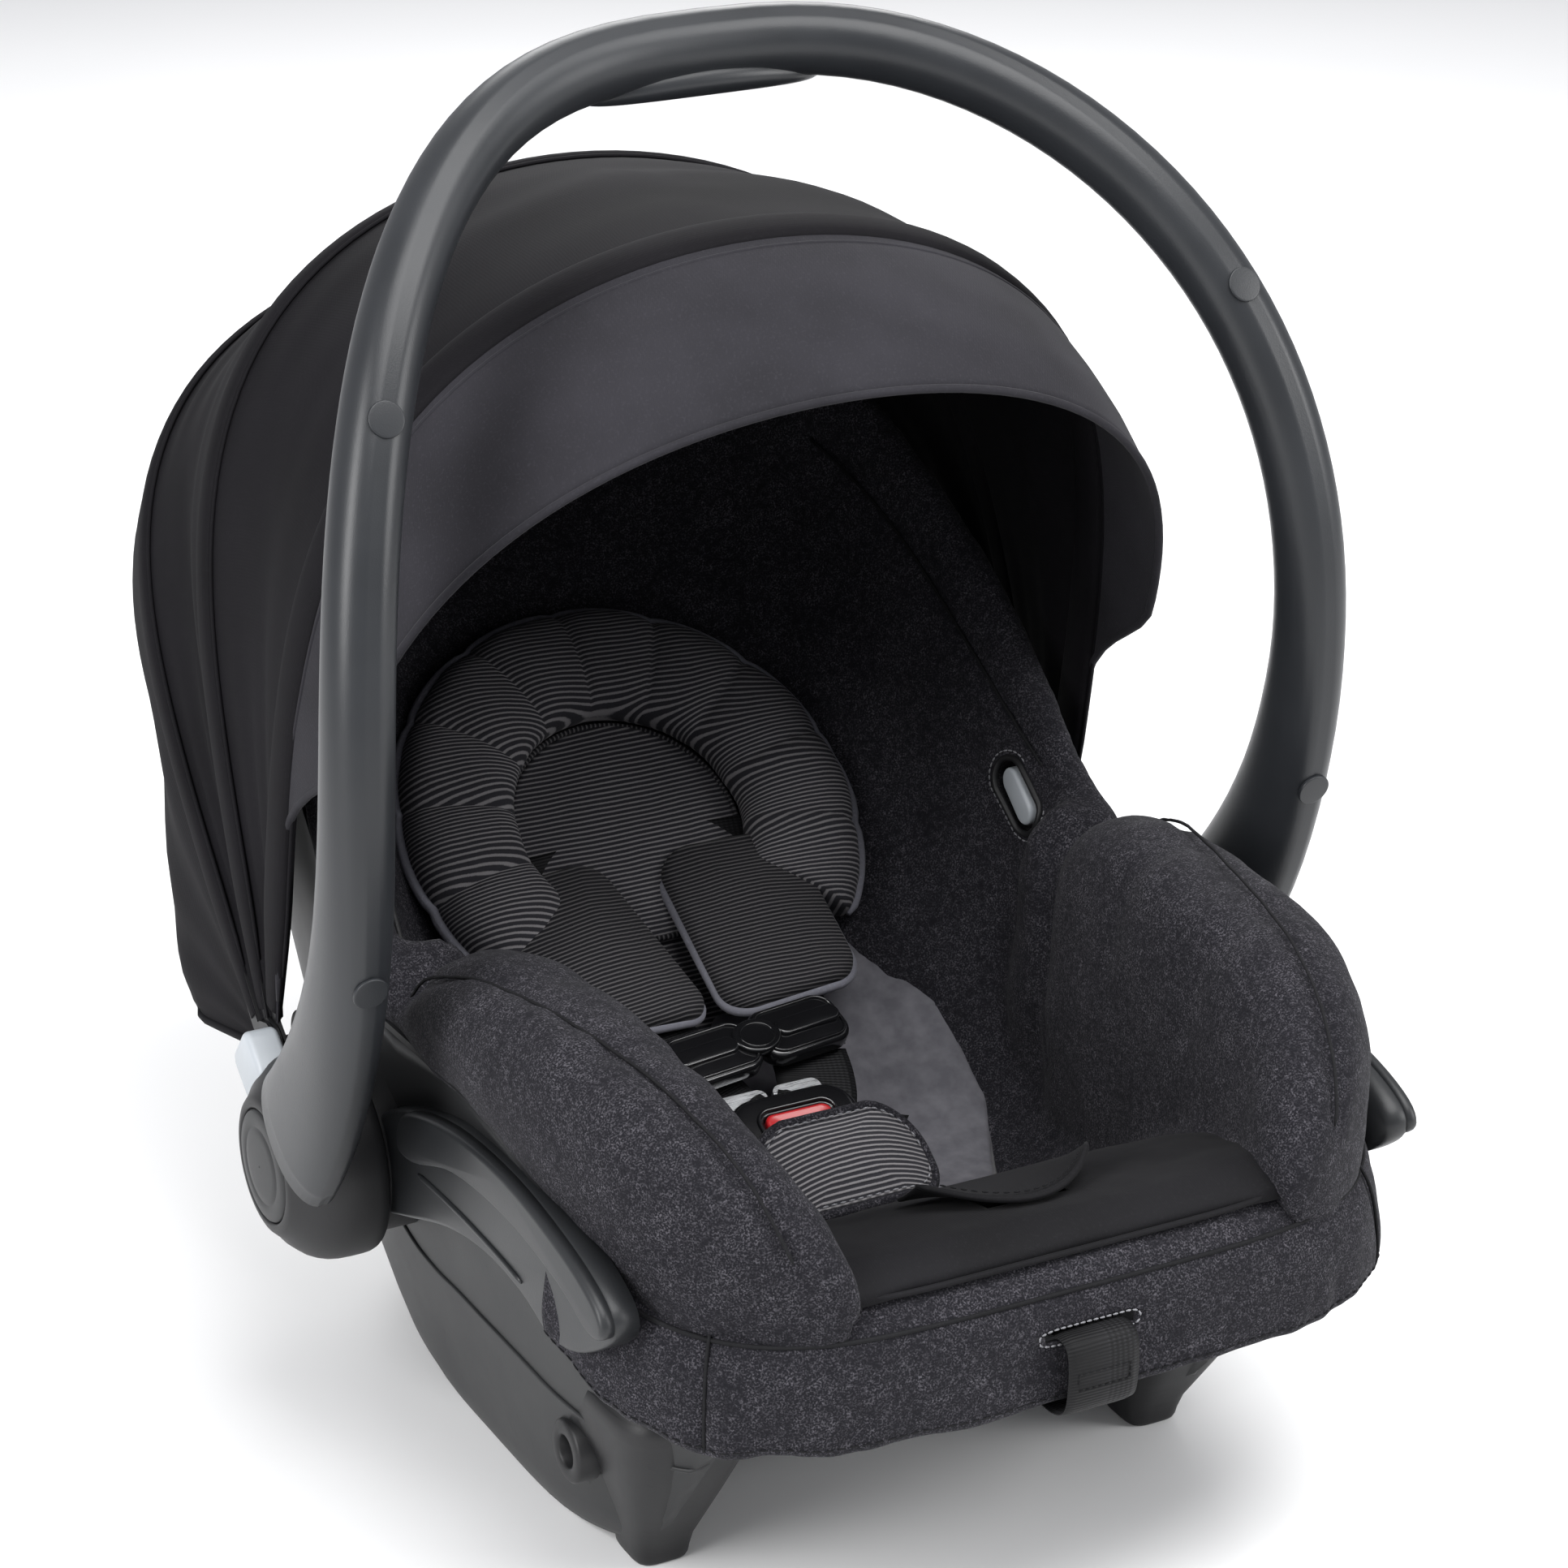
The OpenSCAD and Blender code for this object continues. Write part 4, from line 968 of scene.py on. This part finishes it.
place(tubes("Pillow_piping", [[p + (p - back(0, 0, 14)).normalized() * 0.001 for p in rim]], 0.0023,
            M["piping"], 10), "seat")
disc = [(53 * math.cos(math.tau * k / 96), 53 * math.sin(math.tau * k / 96)) for k in range(96)]
centre = plate("Pillow_centre", disc, 4, 12, 4, M["stripes"], BACK, 3.5)
wrinkle(centre, [(35, 0.0012, (1, 1, 1))])
place(centre, "seat", "pillow_centre")
place(tubes("Pillow_centre_seam",
        [[back(52.6 * math.cos(math.tau * k / 120), 52.6 * math.sin(math.tau * k / 120),
               10.5) for k in range(120)]],
            0.0012, M["ribs"], 8, closed=True), "seat")
spread_cloth = plate("Back_insert", rounded(132, 110, 26), 0.6, 4.2, 1.5, M["stripes"],
                     at(0, 50, seat_z(50), 40), 1.5)
place(spread_cloth, "seat")

# ---------------------------------------------------------------- harness
for side, word in ((1, "left"), (-1, "right")):
    points = [(38, 100, 187), (37, 86, 170), (36, 68, 160), (34, 40, 147), (31, 14, 137), (27, -12, 128)]
    strap = ribbon("Shoulder_strap_" + word, curve([P(side * x, y, z) for x, y, z in points], 6), 0.034,
                   0.0018, M["webbing"])
    place(strap, "seat", "shoulder_strap_" + word)
    tail = ribbon("Lower_strap_" + word,
            curve([P(side * 26, -14, 127), P(side * 24, -24, 122), P(side * 20, -34, 117),
                   P(side * 15, -40, 112)], 5), 0.034, 0.0018, M["webbing"])
    place(tail, "seat")
    a, b = Vector((side * 74, 0, 108)), Vector((side * 24, -44, 112))
    path = []
    for t in (0, 0.2, 0.4, 0.6, 0.8, 1):
        q = a.lerp(b, t)
        path.append(P(q.x, q.y, mix(cover_z(q.x, q.y) + mix(1, 10, ease(t * 2)), b.z, ease(t * 2 - 1))))
    lap = ribbon("Lap_strap_" + word, curve(path, 6), 0.024, 0.0018, M["webbing"],
                 (b - a).cross(Vector((0, 0, 1))).normalized())
    place(lap, "seat", "lap_strap_" + word)

    def arch(x, y, z):
        return (x, y, z - 0.0042 * x * x + 0.0008 * y * y * (1 if y < 0 else 0.4))

    where = at(side * 40 - 4, 50, 158, 25, 0, 3 - 6 * side)
    shape = [(x, y + (4 * (x * side / 29) if y < 0 else 0)) for x, y in rounded(65, 90, 15)]
    cushion = plate("Shoulder_pad_" + word, shape, 0, 10, 4.4, M["ribs"], where, 3.4, bend=arch)
    wrinkle(cushion, [(40, 0.0012, (1, 1, 1))])
    place(cushion, "seat", "shoulder_pad_" + word)
    edge = [where @ Vector(tuple(c / 1000 for c in arch(x * 1.0, y * 1.0, 2.6))) for x, y in shape]
    place(tubes("Shoulder_pad_piping_" + word, [edge], 0.0022, M["piping"], 10, closed=True), "seat")

CLIP = at(0, -12, 131, 24, 0, 9)
for side, word in ((1, "left"), (-1, "right")):
    body = Matrix(CLIP) @ Matrix.Translation((side * 0.0224, 0, 0.002))
    half = plate("Chest_clip_" + word, rounded(43.6, 27, 9), 0, 8.2, 2.2, M["gloss"], body, 0.8)
    place(half, "seat", "chest_clip_" + word)
    ridge = plate("Chest_clip_arm_" + word, rounded(32, 9, 4.4), 7.4, 10.6, 1.3, M["gloss"],
                  Matrix(CLIP) @ Matrix.Translation((side * 0.0262, 0, 0.002)), 0.3)
    place(ridge, "seat", None)
    loop = [body @ Vector((x / 1000, y / 1000, 0.0086)) for x, y in rounded(39, 22, 7)]
    place(tubes("Chest_clip_edge_" + word, [loop], 0.0007, M["gloss"], 8, closed=True), "seat")
oval = [(11.25 * math.cos(math.tau * k / 64), 9 * math.sin(math.tau * k / 64)) for k in range(64)]
place(plate("Chest_clip_button", oval, 8.4, 12.6, 1.3, M["gloss"], CLIP, -0.5), "chest_clip_release",
      "chest_clip_button")
place(tubes("Chest_clip_button_ring", [[CLIP @ Vector((x * 0.0007, y * 0.0007, 0.01235)) for x, y in oval]],
            0.0005, M["gloss"], 8, closed=True), "chest_clip_release")

BUCKLE = at(0, -58, 104, 28)
body = plate("Buckle", rounded(58, 52, 14), -8, 13.5, 4.2, M["gloss"], BUCKLE, 1.0)
cut(body, plate("cutter", rounded(31.4, 19.8, 4.4), 9, 20, 0.4, M["gloss"],
                BUCKLE @ Matrix.Translation((0, 0.005, 0))))
place(body, "seat", "buckle_body")
place(plate("Buckle_button", rounded(30, 18.4, 4), 9.4, 15.6, 1.2, M["red"],
        BUCKLE @ Matrix.Translation((0, 0.005, 0)), -0.8), "buckle_release", "buckle_button")
place(tubes("Buckle_lip",
        [[BUCKLE @ Vector((x / 1000, y / 1000 + 0.005, 0.0145)) for x, y in rounded(35, 24, 6)]], 0.0009,
        M["gloss"], 8, closed=True), "seat")
strap = ribbon("Crotch_strap", curve([P(0, -104, 86), P(0, -98, 97), P(0, -90, 103), P(0, -81, 106)], 6),
               0.034, 0.0018, M["webbing"])
place(strap, "seat", "crotch_strap")

where = at(0, -91, 117, 34)


def lap(x, y, z):
    return (x, y - 0.0042 * x * x, z - 0.0052 * x * x)


shape = rounded(76, 44, 18)
pad = plate("Crotch_pad", shape, 0, 8, 3.4, M["stripes"], where, 2.4, bend=lap)
wrinkle(pad, [(50, 0.0008, (1, 1, 1))])
place(pad, "seat", "crotch_pad")
binding = [where @ Vector(tuple(c / 1000 for c in lap(x * 0.985, y * 0.975, 5))) for x, y in shape]
place(tubes("Crotch_pad_binding", [binding], 0.0033, M["heather"], 12, closed=True, flat=0.8), "seat")
place(tubes("Crotch_pad_stitches",
        dashes([where @ Vector(tuple(c / 1000 for c in lap(x * 0.93, y * 0.87, 8.9))) for x, y in shape],
               0.0026, 0.0016),
            0.0004, M["pale"], 5), "seat")

tail = [(0, -246, 132), (0, -262, 135), (0, -280, 138), (0, -289, 138.5), (0, -293, 134), (0, -293.5, 122),
        (0, -291, 111), (0, -282, 106), (0, -266, 106)]
strap = ribbon("Adjuster_strap", curve([P(*p) for p in tail], 8), 0.030, 0.0018, M["webbing"])
place(strap, "seat", "adjuster_strap")
place(tubes("Adjuster_strap_stitches",
        dashes([P(x, -294.6, z) for x, z in ((-11, 120), (11, 120), (11, 127), (-11, 127), (-11, 120))],
               0.002, 0.001), 0.0004, M["thread"], 5), "seat")

# ---------------------------------------------------------------- handle
def bow_at(z):
    return 148.7 - math.sqrt(252 ** 2 - (z - 203) ** 2)


def hoop(x, z):
    return Vector((x, bow_at(z), 125 + z))


TUBE_A = [(0, 31), (40, 29), (80, 25.5), (130, 20), (190, 15.5), (260, 14), (430, 14)]
TUBE_B = [(0, 12), (60, 12.5), (150, 13.4), (430, 13.4)]
arm = [hoop(208, z) for z in (26, 33, 40, 49, 58, 69, 80, 92, 104, 116, 128, 139)]
arm += [hoop(208 * math.cos(math.radians(a)) ** (2 / 2.7),
        150 + 274 * math.sin(math.radians(a)) ** (2 / 2.7)) for a in [90 * (k / 40) ** 1.25
                                                                      for k in range(40)]]
arm.append(hoop(0, 424))
line = [Vector((-p.x, p.y, p.z)) for p in arm] + arm[-2::-1]
rows = []
for i, p in enumerate(line):
    t = (line[min(i + 1, len(line) - 1)] - line[max(i - 1, 0)]).normalized()
    m = Vector((0, p.y - 148.7, p.z - 125 - 203))
    a = (m - t * m.dot(t)).normalized()
    b = t.cross(a)
    z = p.z - 125
    ra, rb = soft(z, TUBE_A, 16), look(z, TUBE_B)
    ring = []
    for k in range(48):
        w = math.tau * k / 48
        groove = (0.5 * math.exp(-(math.sin(w / 2 - math.pi / 2) / 0.035) ** 2)
                  + 0.5 * math.exp(-(math.sin(w / 2) / 0.035) ** 2))
        ring.append(P(*(p + a * (ra - groove) * spow(math.cos(w), 0.9) + b * rb * spow(math.sin(w), 0.9))))
    rows.append(ring)
place(grid("Handle_tube", rows, M["handle"], wrap=True, caps=True), "handle", "handle_tube")

top = hoop(0, 424)
rows = []
for k in range(41):
    u = -1 + k / 20
    f = math.sqrt(max(0.0, 1 - (0.976 * u) ** 2))
    c = top - Vector((0, 0, 11.5 + 2.2 * (1 - f))) + Vector((50 * u, 0, -3 * u * u))
    rows.append([P(c.x, c.y + 13.2 * f * math.cos(math.tau * q / 36),
                   c.z + 7.9 * f * math.sin(math.tau * q / 36)) for q in range(36)])
place(grid("Handle_grip", rows, M["handle"], wrap=True, caps=True), "handle", "handle_grip")

plugs = []
for z in (123, 322):
    i = min((k for k in range(len(arm)) if arm[k].z - 125 >= z), default=0)
    p = arm[i]
    t = (arm[i + 1] - arm[i - 1]).normalized()
    m = Vector((0, p.y - 148.7, p.z - 125 - 203))
    a = (m - t * m.dot(t)).normalized()
    for side in (-1, 1):
        q, d = Vector((side * p.x, p.y, p.z)) + Vector((side * a.x, a.y, a.z)) * (soft(p.z - 125, TUBE_A,
                16) - 1.2), Vector((side * a.x, a.y, a.z))
        turn = d.to_track_quat("Z", "Y").to_matrix().to_4x4()
        plugs.append(plate("Screw_plug",
                [(7 * math.cos(math.tau * k / 40), 7 * math.sin(math.tau * k / 40)) for k in range(40)], 0,
                1.7, 0.5,
                           M["handle"], Matrix.Translation(P(*q)) @ turn, 0.2))
plug = join("Screw_plugs", plugs, M["handle"])
place(plug, "handle", "screw_plugs")

HUB = [(8.05, 174.6), (40, 174.6), (41.3, 174.9), (42.2, 176), (42.8, 177.8), (43, 180), (43, 186),
       (42.8, 190), (42.2, 193.6), (41, 197), (39.3, 200.2),
       (37, 203), (34.3, 206), (31, 208.5), (28, 211.6), (26.6, 212.3), (25, 212.6), (24.2, 212.5),
       (23.6, 211.8), (23.6, 209), (8.05, 209)]
CAP = [(23.3, 209), (23.3, 211.6), (22.9, 212.4), (22, 213), (17, 213.4), (16.4, 213.1), (15.8, 213.1),
       (15.2, 213.5), (12, 213.7), (6, 213.95), (0.4, 214)]
for side, word in ((1, "left"), (-1, "right")):
    hub = lathe("Hub_" + word, HUB, (0, 125), M["black"], side, 128)
    place(hub, "handle", "hub_" + word)
    cap = lathe("Hub_cap_" + word, CAP, (0, 125), M["shell"], side, 96)
    place(cap, "handle", "hub_caps")
    spin = Matrix.Translation(P(side * 198, 0, 125)) @ Matrix.Rotation(math.radians(90), 4,
            "Y") @ Matrix.Rotation(math.radians(129), 4, "Z")
    shape = [(31.3 + 12 + x, y) for x, y in rounded(24, 25.2, 6)]
    key = plate("Handle_button_" + word, shape, -7, 7, 2.6, M["grey"], spin)
    place(key, "handle_release_" + word, "handle_button_" + word)

# ---------------------------------------------------------------- canopy
FOLD = (50, 150)
STEPS = 44


def arch_x(d, r, w):
    return w * math.sqrt(max(0.0, 1 - (abs(d) / r) ** 4.65))


def sweep_at(q):
    return ease((q - 0.19) / 0.16)


def arch_row(r, w, angle, sweep=0.0, narrow=0.0, foot=12.5):
    side = []
    for i in range(STEPS + 1):
        q = i / STEPS
        d = foot if i == 0 else max(foot + 0.3 * i, r * math.sin(math.pi / 2 * q))
        d = min(d, r)
        s = sweep_at(q)
        turn = math.radians(angle + sweep * s)
        x = arch_x(d, r, w) * (1 - narrow * s / 189.5)
        side.append((x, FOLD[0] + d * math.cos(turn), FOLD[1] + d * math.sin(turn)))
    return [P(-x, y, z) for x, y, z in side] + [P(x, y, z) for x, y, z in side[-2::-1]]


def canopy_panel(name, arches, thick=0.0014, sag=0.0, material=None, drape_fold=0.0):
    """Cloth between bows; arches are (angle, reach, half width, sweep, narrow)."""
    rows = []
    n = len(arches)
    fine = max(3, int(30 / n))
    for i in range(n - 1):
        for k in range(fine + (i == n - 2)):
            t = k / fine
            rows.append([mix(p, q, t) for p, q in zip(arches[i], arches[i + 1])])
    out = []
    for j, (angle, r, w, sweep, narrow) in enumerate(rows):
        t = j / (len(rows) - 1)
        dip = sag * 4 * t * (1 - t)
        out.append(arch_row(r - dip, w - dip * 0.35, angle, sweep, narrow))
    if drape_fold:
        for j, row in enumerate(out):
            t = j / (len(out) - 1)
            for k, p in enumerate(row):
                q = abs(k - STEPS) / STEPS
                wave = noise.noise(Vector((q * 3 + t * 1.4, t * 5.0 - q * 2.2, 1 if k > STEPS else 8)))
                inward = (P(0, FOLD[0], FOLD[1] + 60) - p).normalized()
                row[k] = p + inward * (drape_fold * (0.5 + wave) * 4 * t * (1 - t))
    sheet = grid(name, out, material or M["canopy"])
    area = sum(p.area for p in sheet.data.polygons)
    modify(sheet, "SOLIDIFY", thickness=thick, offset=0.0)
    sheet.data.polygons.foreach_set("use_smooth", [True] * len(sheet.data.polygons))
    return sheet, area


def fan(obj, a, b, start, end):
    """Bakes the cloth's transform into its mesh."""
    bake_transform(obj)
    return obj


def sleeve(name, angle, r, w, body, material, thick=3.0, deep=14.0, back=11.5):
    """The tunnel of cloth round a bow, fuller than the panels beside it."""
    ahead = Vector((0, -math.sin(math.radians(angle)), math.cos(math.radians(angle))))
    row = arch_row(r - 0.75, w - 0.75, angle, foot=16)
    inner = P(0, FOLD[0] + 40 * math.cos(math.radians(angle)), FOLD[1] + 40 * math.sin(math.radians(angle)))
    rows = []
    for i, p in enumerate(row):
        t = (row[min(i + 1, len(row) - 1)] - row[max(i - 1, 0)]).normalized()
        out = ahead.cross(t).normalized()
        if out.dot(p - inner) < 0:
            out = -out
        q = abs(i - STEPS) / STEPS
        size = ease((1 - q) / 0.14)
        h, d = thick * mix(0.55, 1, size) / 1000, deep * mix(0.5, 1, size) / 2000
        c = p - ahead * (0.0045 + (back - 11.5) / 1000)
        rows.append([c + ahead * (d * spow(math.cos(math.tau * k / 20), 0.8)) + out
                     * (h * spow(math.sin(math.tau * k / 20), 0.8)) for k in range(20)])
    obj = grid(name, rows, material, wrap=True, caps=True)
    place(obj, body, None)
    for word, s in (("front", 1), ("back", -1)):
        lines = [r_[0] + ahead * 0.0004 if s > 0 else r_[10] - ahead * 0.0004 for r_ in rows[3:-3]]
        place(tubes(f"{name}_seam_{word}", [lines], 0.0009, M["canopy"], 6), body)
    return obj


rear, rear_area = canopy_panel(
    "Canopy_rear",
    [(-14, 261, 189.5, 24, 30), (-11, 293, 189.5, 25, 23), (-5, 321, 189.5, 24, 17), (4, 337, 189.5, 20, 12),
     (16, 343, 189.5, 14, 7), (30, 345, 189.5, 6, 3), (39, 345, 189.5, 2, 1), (45.6, 344.6, 189.3, 0, 0)],
    drape_fold=0.004)
cloth_panels = [(rear, "seat", "rear_bow", 14.0, 45.6, "canopy_rear", rear_area)]
middle, mid_area = canopy_panel(
    "Canopy_middle",
    [(47.0, 343, 188, 0, 0), (53, 342, 187.6, 0, 0), (61, 342, 187.5, 0, 0), (68.6, 342, 187.5, 0, 0)],
    sag=4.5, drape_fold=0.005)
cloth_panels.append((middle, "rear_bow", "middle_bow", 47.0, 68.6, "canopy_mid", mid_area))
front, front_area = canopy_panel(
    "Canopy_front",
    [(70.2, 340, 186, 0, 0), (78, 339, 185.5, 0, 0), (88, 339, 185.5, 0, 0), (99.6, 339, 185.5, 0, 0)],
    sag=4.0, drape_fold=0.003)
cloth_panels.append((front, "middle_bow", "front_bow", 70.2, 99.6, None, front_area))
for obj, a, b, start, end, node, area in cloth_panels:
    fan(obj, a, b, start, end)
    if node:
        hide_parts(node)
visor, visor_area = canopy_panel(
    "Visor",
    [(101.0, 339, 185.5, 0, 0), (101, 338.4, 185.5, 2.4, 0), (101, 336, 185.5, 6, 0),
     (101, 332, 185.5, 10.5, 0), (101, 325, 185.5, 15.4, 0)],
    material=M["visor"], thick=0.0018)
place(visor, "front_bow", "canopy_front")
edge = arch_row(325, 185.5, 101, 15.4)
place(tubes("Visor_binding", [edge[2:-2]], 0.0017, M["visor"], 8), "front_bow")
place(tubes("Visor_stitches", dashes(arch_row(327.4, 185.9, 101, 13.6)[14:-14], 0.003, 0.0016), 0.0004,
            M["thread"], 5), "front_bow")
place(tubes("Visor_seam", [arch_row(338.9, 186, 101, 1.6)[6:-6]], 0.0011, M["visor"], 8), "front_bow")
sleeve("Sleeve_rear", 47, 345, 189.5, "rear_bow", M["canopy"], 2.6, 13)
sleeve("Sleeve_middle", 70, 342, 187.5, "middle_bow", M["canopy"], 2.8, 14)
sleeve("Sleeve_front", 101, 339, 185.5, "front_bow", M["canopy"], 4.2, 20, 12.5)
place(tubes("Canopy_hem", [arch_row(261.6, 189.6, -14, 24, 30)[1:-1]], 0.0017, M["canopy"], 8), "seat")

# ---------------------------------------------------------------- parts kept as they are in the CAD
KEPT = {"black": ["seat_tub", "hub_mount_left", "hub_mount_right", "canopy_socket_left",
                  "canopy_socket_right", "bow_rear", "bow_mid", "bow_front", "adjuster_housing"],
        "foam": ["foam_liner"], "grey": ["adjuster_button"],
        "steel": ["latch_bar_front", "latch_bar_rear", "pivot_pin_left", "pivot_pin_right", "buckle_tongues"]}
for key, names in KEPT.items():
    for name in names:
        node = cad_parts[name]
        node.data.materials.clear()
        node.data.materials.append(M[key])

# ---------------------------------------------------------------- floor, light and camera
stage = Mat("studio_floor", (0.86, 0.86, 0.86), 0.6)
stage.set("Roughness", stage.ramp(stage.noise(stage.coords(), 3), 0.3, 0.7, 0.55, 0.65))
floor = finish("Studio_floor", [Vector(v) for v in ((-6, -6, 0), (6, -6, 0), (6, 6, 0), (-6, 6, 0))],
               [(0, 1, 2, 3)], stage.m, smooth=False)


def lamp(name, where, size, power, aim=(0, 0, 0.25)):
    data = bpy.data.lights.new(name, "AREA")
    data.shape, data.size, data.size_y, data.energy = "RECTANGLE", size[0], size[1], power
    obj = bpy.data.objects.new(name, data)
    obj.location = where
    obj.rotation_euler = (Vector(aim) - Vector(where)).to_track_quat("-Z", "Y").to_euler()
    bpy.context.scene.collection.objects.link(obj)


lamp("Key_light", (-1.7, -0.6, 1.2), (0.7, 1.6), 40)
lamp("Top_light", (0.3, -0.7, 2.2), (1.8, 1.4), 52)
lamp("Right_light", (1.8, -1.6, 1.1), (0.9, 1.4), 30)
lamp("Back_light", (0.9, 1.8, 1.5), (1.2, 1.0), 22)
world = bpy.data.worlds.new("Studio")
world.use_nodes = True
world.node_tree.nodes["Background"].inputs[0].default_value = (0.95, 0.96, 1.0, 1)
world.node_tree.nodes["Background"].inputs[1].default_value = 0.55
bpy.context.scene.world = world
bpy.context.scene.view_settings.view_transform = "Standard"

eye, aim = P(-763.8, -1496.5, 955.6), P(0, -42.3, 264.5)
camera = bpy.data.cameras.new("Camera")
camera.sensor_width, camera.lens, camera.clip_end = 36, 102.48, 20
view = bpy.data.objects.new("Camera", camera)
view.location = eye
view.rotation_euler = (aim - eye).to_track_quat("-Z", "Y").to_euler()
bpy.context.scene.collection.objects.link(view)
bpy.context.scene.camera = view
